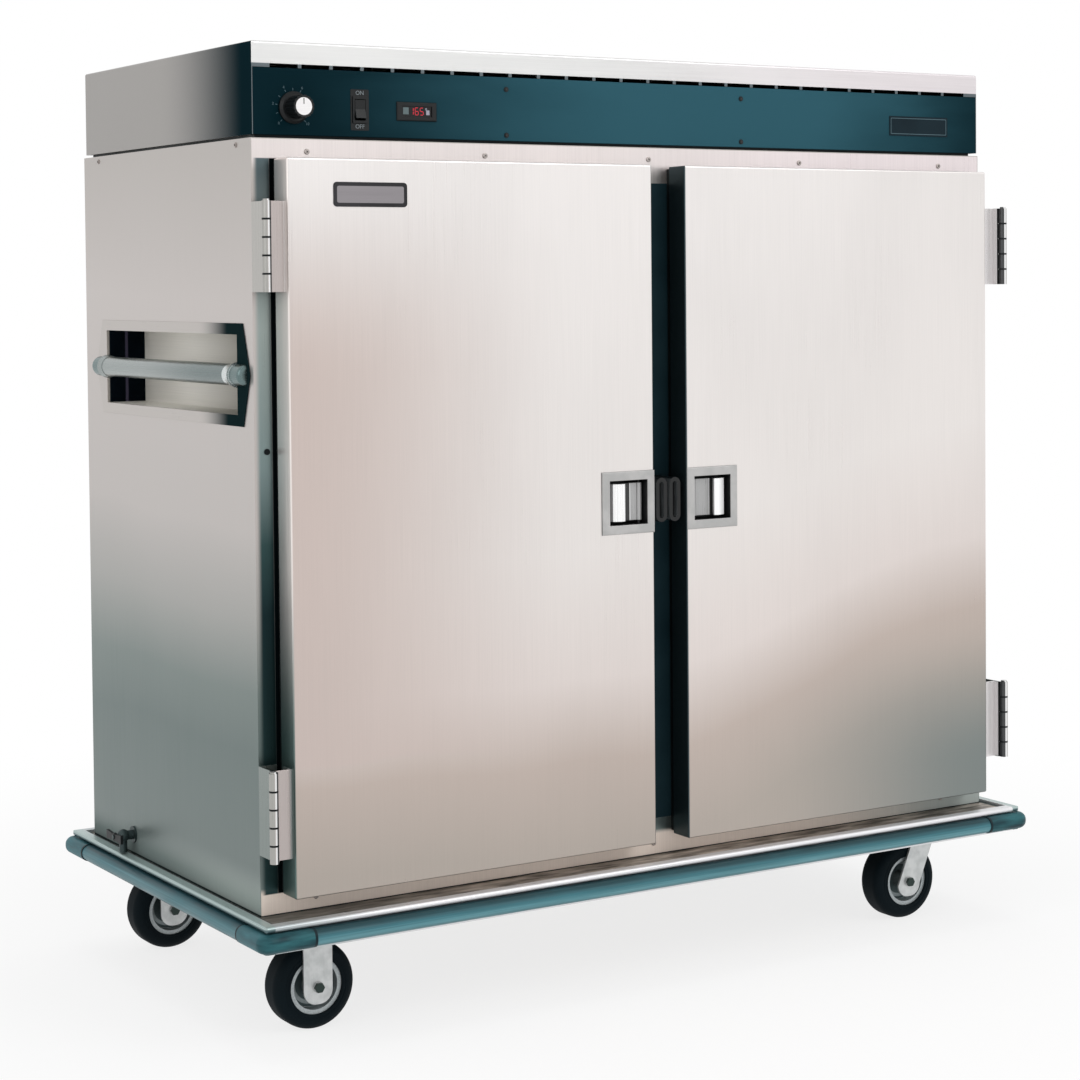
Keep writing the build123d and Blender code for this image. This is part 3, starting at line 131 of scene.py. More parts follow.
# Display, from the middle of the thermometer
WINDOW_DEPTH = 0.0020
WINDOW_SIZE = (0.0536, 0.0166)
WINDOW_ROUND = 0.0005
BAR_PLACE = (-0.0195, 0.0010)
BAR_SIZE = (0.0100, 0.0110)
READING = (1, 6, 5)
FIGURE_STEP = 0.0090
FIGURE_LIFT = 0.0006
FIGURE_SIZE = (0.0056, 0.0112)
FIGURE_STROKE = 0.0011
RING_PLACE = (0.0170, 0.0045)
RING_RADII = (0.0017, 0.0009)
RING_STEPS = 16
BLOCK_PLACE = (0.0200, -0.0010)
BLOCK_SIZE = (0.0060, 0.0075)

# Bare plates
DOOR_PLATE = (-0.558, 1.3147)
DOOR_PLATE_SIZE = (0.128, 0.038)
DOOR_PLATE_ROUND = 0.0060
DOOR_PLATE_EDGE = 0.0060
DOOR_FACE_ROUND = 0.0030
PANEL_PLATE = (0.591, 1.4525)
PANEL_PLATE_SIZE = (0.136, 0.035)
PANEL_PLATE_ROUND = 0.0015
PANEL_RIM_INSET = 0.0030
PANEL_RIM_WIDTH = 0.0012
PANEL_RIM_ROUND = 0.0010

# Screws, and a plug in the left stile
SCREW_RADIUS = 0.0042
SCREW_HEIGHT = 0.0012
CROWN_RADIUS = SCREW_RADIUS * 0.72
CROWN_HEIGHT = SCREW_HEIGHT * 1.5
CROSS_SIZE = (0.0044, 0.0009)
CROSS_TURN = 0.6
PANEL_SCREWS_X = (-0.278, 0.193)
PANEL_SCREWS_Z = (1.490, 1.416)
SIDE_SCREWS_Y = (0.2986, -0.2700)
SIDE_SCREW_Z = 1.3930
FRAME_SCREW_RADIUS = 0.0045
TOP_RAIL_SCREWS = 5
LOW_RAIL_SCREWS = 3
PLUG_PLACE = (-0.7115, 0.9205)
PLUG_RADIUS = 0.0048
PLUG_HEIGHT = 0.0015

# Latch paddles: places from the middle of the cart, and the left crease's shift inwards; the crease is a
# painted shade
PADDLE_SHIFT = 0.0142
PADDLE_CREASE = 0.0880
PADDLE_BAR = 0.0935

# Axle bolts' heads, from a fork's middle and from the floor
BOLT_HEADS = (0.0346, 0.0450)
BOLT_TOP = 0.086

# Legs of the caster forks, fitted closely over the solids
LEG_HALF = 0.0252
LEG_ROUND = 0.0222
LEG_LOW = 0.0428
LEG_SHEET = 0.0044
LEG_GAP = 0.0008
LEG_BEVEL = 0.0008
CASTER_TRAIL = 0.037
CASTER_PLATE = 0.005


def middle_of(node):
    low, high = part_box(node)
    return tuple((a + b) / 2 for a, b in zip(low, high))


def srgb(red, green, blue):
    """A colour as it looks, from 0 to 255, turned into the linear values that shaders use."""
    def linear(value):
        share = value / 255
        return share / 12.92 if share <= 0.04045 else ((share + 0.055) / 1.055) ** 2.4
    return (linear(red), linear(green), linear(blue), 1.0)


# Finishes

class Finish:
    """A material, with short calls for the nodes that it is made of."""

    def __init__(self, name, metallic, roughness, specular=0.5):
        self.material = bpy.data.materials.new(name)
        self.material.use_nodes = True
        self.tree = self.material.node_tree
        self.shader = self.tree.nodes["Principled BSDF"]
        self.set("Metallic", metallic)
        self.set("Roughness", roughness)
        self.set("Specular IOR Level", specular)
        self.coordinates = self.node("ShaderNodeTexCoord")
        self.place = self.coordinates.outputs["Object"]

    def node(self, kind, **settings):
        made = self.tree.nodes.new(kind)
        for key, value in settings.items():
            setattr(made, key, value)
        return made

    def feed(self, socket, value):
        """Links an output to an input, or sets a plain value on it."""
        if isinstance(value, bpy.types.NodeSocket):
            self.tree.links.new(value, socket)
        else:
            socket.default_value = value

    def set(self, name, value):
        self.feed(self.shader.inputs[name], value)

    def stretch(self, scale):
        mapping = self.node("ShaderNodeMapping")
        self.feed(mapping.inputs["Vector"], self.place)
        mapping.inputs["Scale"].default_value = scale
        return mapping.outputs["Vector"]

    def noise(self, vector, scale, detail):
        made = self.node("ShaderNodeTexNoise")
        self.feed(made.inputs["Vector"], vector)
        made.inputs["Scale"].default_value = scale
        made.inputs["Detail"].default_value = detail
        return made.outputs["Fac"]

    def ramp(self, factor, stops):
        """A colour ramp from a list of places and colours."""
        made = self.node("ShaderNodeValToRGB")
        self.feed(made.inputs["Fac"], factor)
        elements = made.color_ramp.elements
        elements.remove(elements[-1])
        elements[0].position, elements[0].color = stops[0]
        for place, colour in stops[1:]:
            elements.new(place).color = colour
        return made.outputs["Color"]

    def mix(self, factor, first, second, mode="MIX"):
        made = self.node("ShaderNodeMix", data_type="RGBA", blend_type=mode)
        self.feed(made.inputs[0], factor)
        self.feed(made.inputs[6], first)
        self.feed(made.inputs[7], second)
        return made.outputs[2]

    def math(self, operation, first, second=0.0):
        made = self.node("ShaderNodeMath", operation=operation)
        self.feed(made.inputs[0], first)
        self.feed(made.inputs[1], second)
        return made.outputs[0]

    def add(self, first, second):
        return self.math("ADD", first, second)

    def less(self, first, second):
        return self.math("SUBTRACT", first, second)

    def times(self, first, second):
        return self.math("MULTIPLY", first, second)

    def size(self, value):
        return self.math("ABSOLUTE", value)

    def spread(self, value, low, high, to_low=0.0, to_high=1.0, smooth=True):
        """Takes a value's range to another range."""
        kind = "SMOOTHSTEP" if smooth else "LINEAR"
        made = self.node("ShaderNodeMapRange", interpolation_type=kind)
        self.feed(made.inputs["Value"], value)
        made.inputs["From Min"].default_value = low
        made.inputs["From Max"].default_value = high
        made.inputs["To Min"].default_value = to_low
        made.inputs["To Max"].default_value = to_high
        return made.outputs["Result"]

    def between(self, value, low, high, soft):
        """One inside a range, falling to nought over a soft edge."""
        return self.times(self.spread(value, low - soft, low), self.spread(value, high + soft, high))

    def axes(self, vector):
        made = self.node("ShaderNodeSeparateXYZ")
        self.feed(made.inputs[0], vector)
        return made.outputs

    def bump(self, height, strength, distance):
        made = self.node("ShaderNodeBump")
        self.feed(made.inputs["Height"], height)
        made.inputs["Strength"].default_value = strength
        made.inputs["Distance"].default_value = distance
        self.set("Normal", made.outputs["Normal"])

    def facing(self, axis):
        """How far the surface faces along an axis of the part, either way."""
        turned = self.axes(self.coordinates.outputs["Normal"])[axis]
        return self.spread(self.size(turned), 0.5, 0.8)


METAL = 0.85
GLOSS = 0.5
GRAIN_FINE = 900.0
GRAIN_LONG = 6.0
UPRIGHT = (GRAIN_FINE, GRAIN_FINE, GRAIN_LONG)
ALONG_X = (GRAIN_LONG, GRAIN_FINE, GRAIN_FINE)
ALONG_Y = (GRAIN_FINE, GRAIN_LONG, GRAIN_FINE)
ALONG_BOTH = (GRAIN_LONG, GRAIN_LONG, GRAIN_FINE)


def brushed(finish, tone, contrast, roughness=0.34, grain=UPRIGHT, dull=None):
    """Gives a finish the fine drawn grain, faint smears and uneven gloss of satin sheet steel."""
    lines = finish.noise(finish.stretch(grain), 1.0, 2.0)
    smears = finish.noise(finish.stretch((3.0, 3.0, 1.6)), 1.0, 4.0)
    grained = finish.spread(lines, 0.3, 0.7, 1.0 - contrast, 1.0 + contrast, smooth=False)
    smeared = finish.spread(smears, 0.3, 0.7, 0.98, 1.015)
    finish.set("Base Color", finish.mix(1.0, tone, finish.times(grained, smeared), "MULTIPLY"))
    rough = finish.add(
        finish.spread(lines, 0.3, 0.7, roughness - 0.05, roughness + 0.05, smooth=False),
        finish.spread(smears, 0.3, 0.7, -0.03, 0.03),
    )
    finish.set("Roughness", rough)
    if dull is not None:
        finish.set("Metallic", finish.spread(dull, 0.0, 1.0, METAL, 0.0, smooth=False))
        finish.set("Specular IOR Level", finish.spread(dull, 0.0, 1.0, GLOSS, 0.0, smooth=False))
    finish.bump(lines, 0.05, 0.0002)
    return finish.material


def wall_reflection_tone(finish, z):
    """Upright sheet: a painted reflection, pale above, falling to grey-green low down."""
    drift = finish.spread(finish.noise(finish.stretch((1.0, 1.3, 1.2)), 1.0, 2.0), 0.25, 0.75, -0.02, 0.02)
    return finish.ramp(finish.spread(finish.add(z, drift), SHEET_LOW, SHEET_HIGH, smooth=False), [
        (0.06, srgb(112, 123, 121)),
        (0.20, srgb(105, 118, 116)),
        (0.28, srgb(120, 131, 128)),
        (0.38, srgb(164, 164, 161)),
        (0.50, srgb(190, 185, 182)),
        (0.80, srgb(197, 191, 188)),
        (1.00, srgb(184, 179, 175)),
    ])


def stainless_door():
    """Door sheet: a painted reflection, pale above, warm and darker low down, grey low on the right and dark
    low on the outer edges; painted shade to the left and on the inner edges.
    """
    finish = Finish("stainless_door", METAL, 0.34)
    x, _, z = finish.axes(finish.place)
    away = finish.size(x)
    drift = finish.spread(finish.noise(finish.stretch((1.3, 1.0, 1.1)), 1.0, 2.0), 0.25, 0.75, -0.03, 0.03)
    level = finish.less(finish.add(z, drift), finish.spread(x, -0.1, 0.75, -0.035, 0.19))
    # Painted reflection: pale above, warm and darker low down
    tone = finish.ramp(finish.spread(level, 0.25, 1.30, smooth=False), [
        (0.03, srgb(176, 167, 159)),
        (0.16, srgb(190, 177, 169)),
        (0.28, srgb(220, 211, 207)),
        (0.48, srgb(228, 223, 220)),
        (1.00, srgb(226, 222, 220)),
    ])
    # Painted shade towards the left
    shade = finish.times(finish.spread(x, -0.15, -0.70), finish.spread(z, 1.36, 1.03))
    tone = finish.mix(shade, tone, srgb(200, 186, 180), "DARKEN")
    # Painted reflection, grey low on the right
    corner = finish.times(finish.spread(x, 0.15, 0.70), finish.spread(z, 0.55, 0.30))
    tone = finish.mix(corner, tone, srgb(126, 133, 131))
    # Painted reflection on the outer edges: dark low down, pale above
    return_reflection = finish.mix(finish.spread(z, 0.45, 0.80), srgb(84, 106, 103), srgb(234, 227, 223))
    tone = finish.mix(finish.spread(away, DOOR_OUTER - 0.0025, DOOR_OUTER - 0.0005), tone, return_reflection)
    # Painted shade on the inner edges, in the gap between the doors
    edge = finish.spread(away, DOOR_INNER + 0.0028, DOOR_INNER + 0.0012)
    tone = finish.mix(edge, tone, srgb(56, 70, 74))
    return brushed(finish, tone, 0.022)


def stainless_side():
    """Side and back sheets, with the painted reflection of the upright sheets, painted light at the foot
    towards the front and a painted shade line at the foot.
    """
    finish = Finish("stainless_side", METAL, 0.36)
    _, y, z = finish.axes(finish.place)
    foot = finish.spread(z, 0.28, 0.22)
    # Painted light at the foot, growing towards the front
    lit = finish.times(foot, finish.spread(y, 0.15, -0.30))
    tone = finish.mix(lit, wall_reflection_tone(finish, z), srgb(146, 156, 152))
    # Painted shade: a dark line at the foot, against the deck
    tone = finish.mix(finish.spread(z, DECK_TOP + 0.0035, DECK_TOP + 0.0025), tone, srgb(40, 50, 50))
    return brushed(finish, tone, 0.03, 0.36, UPRIGHT, foot)


def stainless_frame():
    """Front frame: pale top rail, warm bottom rail, and stiles with a painted reflection and shade of the
    doors' edges, black painted shade in the gaps beside the doors.
    """
    finish = Finish("stainless_frame", METAL, 0.34)
    x, _, z = finish.axes(finish.place)
    away = finish.size(x)
    top = finish.mix(finish.spread(x, -0.1, 0.5), srgb(219, 211, 209), srgb(226, 216, 217))
    low = finish.mix(finish.spread(x, 0.3, 0.7), srgb(232, 218, 207), srgb(168, 176, 173))
    tone = finish.mix(finish.spread(z, DOOR_HIGH - 0.02, DOOR_HIGH), wall_reflection_tone(finish, z), top)
    rail = finish.spread(z, DOOR_LOW + 0.01, DOOR_LOW)
    tone = finish.mix(rail, tone, low)
    # Painted reflection and shade of the doors' edges on the stiles beside them
    beside = finish.ramp(finish.spread(z, SHEET_LOW, SHEET_HIGH, smooth=False), [
        (0.20, srgb(40, 62, 63)),
        (0.39, srgb(24, 46, 50)),
        (0.48, srgb(52, 78, 79)),
        (0.58, srgb(128, 148, 149)),
        (0.76, srgb(160, 174, 172)),
        (0.96, srgb(84, 99, 103)),
    ])
    tall = finish.between(z, DOOR_LOW, DOOR_HIGH, 0.002)
    band = finish.times(
        finish.spread(away, DOOR_OUTER + 0.0020, DOOR_OUTER + 0.0035),
        finish.spread(away, STILE_EDGE, STILE_EDGE - 0.0095),
    )
    tone = finish.mix(finish.times(band, tall), tone, beside)
    # Painted shade: black in the gaps beside the doors' outer edges
    gap_shade = finish.times(finish.between(away, DOOR_OUTER - 0.0095, DOOR_OUTER + 0.0020, 0.0015), tall)
    tone = finish.mix(gap_shade, tone, srgb(6, 12, 14))
    return brushed(finish, tone, 0.03, 0.34, UPRIGHT, finish.math("MAXIMUM", rail, gap_shade))


def stainless_hood():
    """Hood sheet: bright in front and on top, a painted shade on the front from the vent slots down, and the
    sides dull, in painted shade darkening to a painted reflection towards their front edge.
    """
    finish = Finish("stainless_hood", METAL, 0.36)
    x, y, z = finish.axes(finish.place)
    bright = finish.mix(finish.spread(x, -0.2, 0.6), srgb(210, 210, 209), srgb(218, 212, 214))
    # Painted shade on the front from the vent slots down
    slot_shade = finish.times(
        finish.spread(z, PANEL_TOP + 0.007, PANEL_TOP + 0.006),
        finish.spread(y, -0.30, -0.31),
    )
    bright = finish.mix(slot_shade, bright, srgb(96, 104, 108))
    # Painted shade on the sides, darkening to a painted reflection towards their front edge
    dark = finish.spread(y, 0.04, -0.29)
    side = finish.facing("X")
    tone = finish.mix(side, bright, finish.mix(dark, srgb(158, 155, 152), srgb(14, 34, 40)))
    return brushed(finish, tone, 0.025, 0.36, ALONG_X, finish.times(side, dark))


def stainless_plain(name, tone, roughness, grain=UPRIGHT):
    """Sheet or bar steel of one tone."""
    return brushed(Finish(name, METAL, roughness), tone, 0.04, roughness, grain)


def deck_steel():
    """Base deck: dull, with a patchy painted reflection of the cabinet front, in painted shade to the left
    and along the sides.
    """
    finish = Finish("deck_steel", 0.3, 0.42, 0.3)
    x, _, z = finish.axes(finish.place)
    patches = finish.noise(finish.stretch((14.0, 60.0, 14.0)), 1.0, 4.0)
    # Painted reflection of the cabinet front, in light and dark patches
    tone = finish.ramp(patches, [
        (0.36, srgb(84, 78, 70)),
        (0.50, srgb(158, 148, 138)),
        (0.66, srgb(216, 205, 194)),
    ])
    # Painted shade to the left and along the sides
    tone = finish.mix(finish.spread(x, -0.30, -0.68, 0.0, 0.7), tone, srgb(52, 62, 58))
    tone = finish.mix(finish.spread(finish.size(x), SIDE, SIDE + 0.002), tone, srgb(50, 62, 62))
    tone = finish.mix(finish.spread(z, DECK_TOP - 0.004, DECK_TOP - 0.006), tone, srgb(120, 126, 125))
    return brushed(finish, tone, 0.04, 0.42, ALONG_X)


def bead_metal():
    """Bumper channel: the bead painted bright in front and in painted shade towards the left; along the sides
    a painted shade on its face and painted light on its top.
    """
    finish = Finish("bead_metal", 0.4, 0.3)
    x, _, z = finish.axes(finish.place)
    # Painted highlight on the bead in front, in painted shade towards the left
    front = finish.mix(finish.spread(x, -0.76, -0.50), srgb(176, 184, 186), srgb(224, 224, 226))
    raised = finish.spread(z, DECK_TOP - 0.001, DECK_TOP + 0.002)
    # Along the sides: painted shade on the bead's face, painted light on its top
    side = finish.mix(raised, srgb(84, 106, 110), srgb(166, 184, 182))
    along = finish.spread(finish.size(x), BEAD_INNER, BEAD_INNER + 0.002)
    return brushed(finish, finish.mix(along, front, side), 0.04, 0.3, ALONG_BOTH)


def bumper_vinyl():
    """Teal vinyl with a painted sheen below and a painted shade along its top edge, scuffed in streaks along
    its length.
    """
    finish = Finish("bumper_vinyl", 0.0, 0.42, 0.25)
    _, y, z = finish.axes(finish.place)
    low, high = (place[2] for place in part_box("bumper_strips"))
    streaks = finish.noise(finish.stretch((5.0, 5.0, 420.0)), 1.0, 4.0)
    patches = finish.noise(finish.stretch((9.0, 9.0, 30.0)), 1.0, 3.0)
    height = finish.spread(z, low, high, smooth=False)
    # In front: a painted sheen low down and painted shade towards the top edge
    front = finish.ramp(height, [
        (0.00, srgb(72, 112, 118)),
        (0.30, srgb(104, 154, 163)),
        (0.60, srgb(64, 116, 126)),
        (0.82, srgb(34, 74, 82)),
        (1.00, srgb(30, 62, 68)),
    ])
    # Along the sides: a broad painted sheen and painted shade at the top edge
    side = finish.ramp(height, [
        (0.00, srgb(70, 104, 110)),
        (0.30, srgb(96, 134, 142)),
        (0.70, srgb(88, 130, 138)),
        (0.95, srgb(44, 78, 86)),
    ])
    tone = finish.mix(finish.spread(y, BUMPER_FRONT + 0.003, BUMPER_FRONT + 0.001), side, front)
    scuffed = finish.ramp(streaks, [(0.3, srgb(208, 214, 214)), (0.7, srgb(255, 255, 255))])
    tone = finish.mix(1.0, tone, scuffed, "MULTIPLY")
    tone = finish.mix(finish.spread(patches, 0.45, 0.75, 0.0, 0.2), tone, srgb(66, 124, 135))
    finish.set("Base Color", tone)
    finish.set("Roughness", finish.spread(patches, 0.3, 0.7, 0.36, 0.5))
    finish.bump(streaks, 0.12, 0.0003)
    return finish.material


def cap_vinyl():
    """Moulded bumper corners: darker than the strips, darkest in front, with dark lips at their ends."""
    finish = Finish("cap_vinyl", 0.0, 0.45, 0.2)
    x, y, _ = finish.axes(finish.place)
    low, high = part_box("bumper_corners")
    patches = finish.noise(finish.stretch((16.0, 16.0, 90.0)), 1.0, 4.0)
    side = finish.ramp(patches, [(0.3, srgb(38, 80, 88)), (0.7, srgb(70, 118, 126))])
    front = finish.ramp(patches, [(0.3, srgb(10, 44, 52)), (0.7, srgb(44, 96, 102))])
    tone = finish.mix(finish.spread(y, low[1] + 0.030, low[1] + 0.006), side, front)
    lips = 0.0
    for place, reach in ((x, high[0]), (y, high[1])):
        end = reach - CAP_LEG
        lips = finish.add(lips, finish.between(finish.size(place), end, end + CAP_LIP, 0.001))
    finish.set("Base Color", finish.mix(lips, tone, srgb(8, 30, 36)))
    finish.set("Roughness", finish.spread(patches, 0.3, 0.7, 0.38, 0.52))
    finish.bump(finish.noise(finish.place, 500.0, 3.0), 0.15, 0.0002)
    return finish.material


def pocket_steel():
    """Handle pocket: a pale rim with a painted reflection darkening it towards its front end, dull inner
    walls darker towards the front, and end walls in painted shade.
    """
    finish = Finish("pocket_steel", METAL, 0.34)
    x, y, _ = finish.axes(finish.place)
    inside = finish.spread(finish.size(x), SIDE, SIDE - 0.004)
    front = finish.spread(y, -0.12, -0.235)
    # Painted reflection darkening the rim towards its front end
    rim = finish.mix(front, srgb(188, 183, 179), srgb(20, 36, 38))
    wall = finish.mix(finish.spread(y, 0.10, -0.22), srgb(242, 239, 232), srgb(156, 153, 143))
    # End walls in painted shade, with a paler line down their middle
    ends = finish.times(finish.facing("Y"), inside)
    line = finish.between(finish.size(x), SIDE - 0.036, SIDE - 0.033, 0.002)
    tone = finish.mix(inside, rim, wall)
    tone = finish.mix(ends, tone, finish.mix(line, srgb(8, 14, 20), srgb(70, 66, 84)))
    dull = finish.math("MAXIMUM", finish.times(inside, 0.8), finish.times(front, finish.less(1.0, inside)))
    dull = finish.math("MAXIMUM", dull, ends)
    return brushed(finish, tone, 0.035, 0.34, ALONG_Y, dull)


def handle_steel():
    """Polished tube, bluish, with a bright collar at its front end."""
    finish = Finish("handle_steel", METAL, 0.26)
    _, y, _ = finish.axes(finish.place)
    tone = finish.mix(finish.spread(y, 0.10, -0.20), srgb(150, 157, 156), srgb(110, 122, 122))
    post = finish.spread(finish.size(y), HANDLE_END, HANDLE_END + 0.002)
    tone = finish.mix(post, tone, srgb(104, 122, 122))
    collar = finish.between(y, -HANDLE_END, HANDLE_COLLAR - HANDLE_END, 0.001)
    tone = finish.mix(collar, tone, srgb(206, 212, 212))
    return brushed(finish, tone, 0.05, 0.26, ALONG_Y)


def hinge_steel():
    """Hinges: pale leaves in painted shade on the left and with a painted highlight over the doors' edges, a
    painted highlight down the barrel with painted shade on its side towards the leaf, and a painted
    reflection, darker low down, on the parts further back.
    """
    finish = Finish("hinge_steel", 0.8, 0.32)
    x, y, z = finish.axes(finish.place)
    away = finish.size(x)
    front = finish.spread(y, DOOR_FRONT + 0.022, DOOR_FRONT + 0.016)
    # Painted shade on the left hinges' leaves
    leaf = finish.mix(finish.spread(x, -0.1, 0.1), srgb(184, 175, 172), srgb(222, 219, 219))
    # Painted highlight where the leaves reach over the doors' edges
    root = finish.spread(away, DOOR_OUTER + 0.0040, DOOR_OUTER + 0.0020)
    tone = finish.mix(root, leaf, srgb(214, 211, 210))
    # Painted shade on the barrel's side towards the leaf
    barrel_shade = finish.between(away, HINGE_X - 0.0095, HINGE_X - 0.0025, 0.001)
    tone = finish.mix(barrel_shade, tone, srgb(74, 75, 76))
    # Painted highlight down the barrel
    shine = finish.between(away, HINGE_X - 0.0018, HINGE_X + 0.0005, 0.0006)
    tone = finish.mix(shine, tone, srgb(232, 232, 232))
    # The barrel's outer side, painted grey as part of its light and shade
    tone = finish.mix(finish.spread(away, HINGE_X + 0.0010, HINGE_X + 0.0020), tone, srgb(168, 167, 163))
    # Painted reflection on the parts further back: darker low down
    plain = finish.mix(finish.spread(z, 0.35, 0.80), srgb(128, 137, 134), srgb(178, 176, 172))
    return brushed(finish, finish.mix(front, plain, tone), 0.03, 0.32)


def zinc():
    """Plated forks and plates, with dull dark axle bolts."""
    finish = Finish("zinc", 0.75, 0.36)
    _, y, z = finish.axes(finish.place)
    heads = 0.0
    for fork in ("front_swivel_fork", "rear_swivel_fork"):
        off = finish.size(finish.less(y, middle_of(fork)[1]))
        heads = finish.add(heads, finish.between(off, *BOLT_HEADS, 0.0003))
    heads = finish.times(heads, finish.spread(z, BOLT_TOP, BOLT_TOP - 0.002))
    spangle = finish.spread(finish.noise(finish.place, 60.0, 3.0), 0.3, 0.7)
    tone = finish.mix(spangle, srgb(186, 189, 189), srgb(206, 208, 208))
    return brushed(finish, finish.mix(heads, tone, srgb(48, 60, 57)), 0.03, 0.36)


def wheel_hub(name, node):
    """Cast hub: a pale rim ring round a dark dished web."""
    finish = Finish(name, 0.4, 0.4, 0.3)
    flat = finish.stretch((1.0, 0.0, 1.0))
    centre = middle_of(node)
    far = finish.node("ShaderNodeVectorMath", operation="DISTANCE")
    finish.feed(far.inputs[0], flat)
    far.inputs[1].default_value = (centre[0], 0.0, centre[2])
    radius = far.outputs["Value"]
    ring = finish.between(radius, *HUB_RING, 0.0010)
    tone = finish.mix(ring, srgb(74, 88, 90), srgb(160, 170, 172))
    tone = finish.mix(finish.spread(radius, HUB_RIM, HUB_RIM + 0.0008), tone, srgb(176, 183, 185))
    tone = finish.mix(finish.spread(radius, HUB_CENTRE, HUB_CENTRE - 0.0008), tone, srgb(110, 118, 118))
    cast = finish.noise(finish.place, 400.0, 3.0)
    finish.set("Base Color", finish.mix(finish.spread(cast, 0.3, 0.7, 0.0, 0.25), tone, srgb(70, 76, 78)))
    finish.bump(cast, 0.2, 0.0002)
    return finish.material


def latch_metal():
    """Latch bezel in satin grey, with a dark cup."""
    finish = Finish("latch_metal", 0.3, 0.42)
    _, y, _ = finish.axes(finish.place)
    cloud = finish.spread(finish.noise(finish.place, 40.0, 3.0), 0.3, 0.7)
    tone = finish.mix(cloud, srgb(166, 166, 165), srgb(178, 177, 176))
    tone = finish.mix(finish.spread(y, DOOR_FRONT - 0.0018, DOOR_FRONT - 0.0006), tone, srgb(30, 31, 32))
    finish.set("Base Color", tone)
    finish.bump(finish.noise(finish.place, 700.0, 3.0), 0.12, 0.0002)
    return finish.material


def paddle_chrome():
    """Latch paddle: a bright finger bar, a painted shade in the crease and a dull plate."""
    finish = Finish("paddle_chrome", 0.5, 0.3)
    x, y, _ = finish.axes(finish.place)
    away = finish.add(finish.size(x), finish.spread(x, 0.01, -0.01, 0.0, PADDLE_SHIFT))
    flat = finish.spread(away, PADDLE_CREASE - 0.0002, PADDLE_CREASE - 0.0025)
    plate = finish.mix(flat, srgb(212, 212, 212), srgb(168, 168, 168))
    # Painted shade in the crease
    crease_shade = finish.spread(away, PADDLE_CREASE + 0.0002, PADDLE_CREASE + 0.0010)
    plate = finish.mix(crease_shade, plate, srgb(58, 58, 58))
    bar = finish.spread(y, DOOR_FRONT + 0.0085, DOOR_FRONT + 0.0070)
    bar = finish.math("MAXIMUM", bar, finish.spread(finish.size(x), PADDLE_BAR, PADDLE_BAR + 0.0010))
    return brushed(finish, finish.mix(bar, plate, srgb(246, 246, 246)), 0.02, 0.3)


def strike_black():
    """Latch strikes: black, with paler sides that are a painted highlight."""
    finish = Finish("strike_black", 0.2, 0.3, 0.5)
    mottled = finish.noise(finish.stretch((200.0, 200.0, 40.0)), 1.0, 3.0)
    # Painted highlight on the sides
    side = finish.ramp(mottled, [(0.30, srgb(60, 63, 65)), (0.70, srgb(98, 102, 104))])
    finish.set("Base Color", finish.mix(finish.facing("X"), srgb(14, 16, 17), side))
    finish.bump(mottled, 0.1, 0.0002)
    return finish.material


def moulded(name, tone, mottled, roughness, grain_size, metallic=0.0, gloss=0.3):
    """Plastic, rubber or paint: a fine pebbled skin with soft uneven colour and gloss."""
    finish = Finish(name, metallic, roughness, gloss)
    pebbles = finish.noise(finish.place, grain_size, 4.0)
    patches = finish.noise(finish.place, 9.0, 3.0)
    finish.set("Base Color", finish.ramp(patches, [(0.30, tone), (0.72, mottled)]))
    finish.set("Roughness", finish.spread(patches, 0.3, 0.7, roughness - 0.06, roughness + 0.06))
    finish.bump(pebbles, 0.25, 0.0003)
    return finish.material


def panel_paint():
    """Dark teal panel, lighter towards the middle."""
    finish = Finish("panel_paint", 0.0, 0.5, 0.03)
    x, _, _ = finish.axes(finish.place)
    cloud = finish.spread(finish.noise(finish.stretch((2.5, 2.0, 9.0)), 1.0, 3.0), 0.25, 0.75, -0.06, 0.06)
    across = finish.add(x, cloud)
    share = finish.less(finish.spread(across, -0.64, -0.06), finish.spread(across, 0.32, 0.80))
    finish.set("Base Color", finish.mix(share, srgb(4, 30, 37), srgb(44, 84, 96)))
    finish.bump(finish.noise(finish.place, 700.0, 2.0), 0.10, 0.0002)
    return finish.material


def fibre():
    """Matted yellowish insulation."""
    finish = Finish("fibre", 0.0, 0.95, 0.1)
    strands = finish.noise(finish.stretch((160.0, 160.0, 160.0)), 1.0, 6.0)
    finish.set("Base Color", finish.ramp(strands, [(0.3, srgb(176, 158, 104)), (0.7, srgb(222, 208, 160))]))
    finish.bump(strands, 0.8, 0.002)
    return finish.material


def glow(name, colour, strength):
    """A lit segment of the display."""
    finish = Finish(name, 0.0, 0.4, 0.2)
    flicker = finish.noise(finish.place, 900.0, 2.0)
    finish.set("Base Color", finish.mix(finish.spread(flicker, 0.3, 0.7, 0.0, 0.2), colour, srgb(20, 10, 12)))
    finish.set("Emission Color", colour)
    finish.set("Emission Strength", strength)
    return finish.material


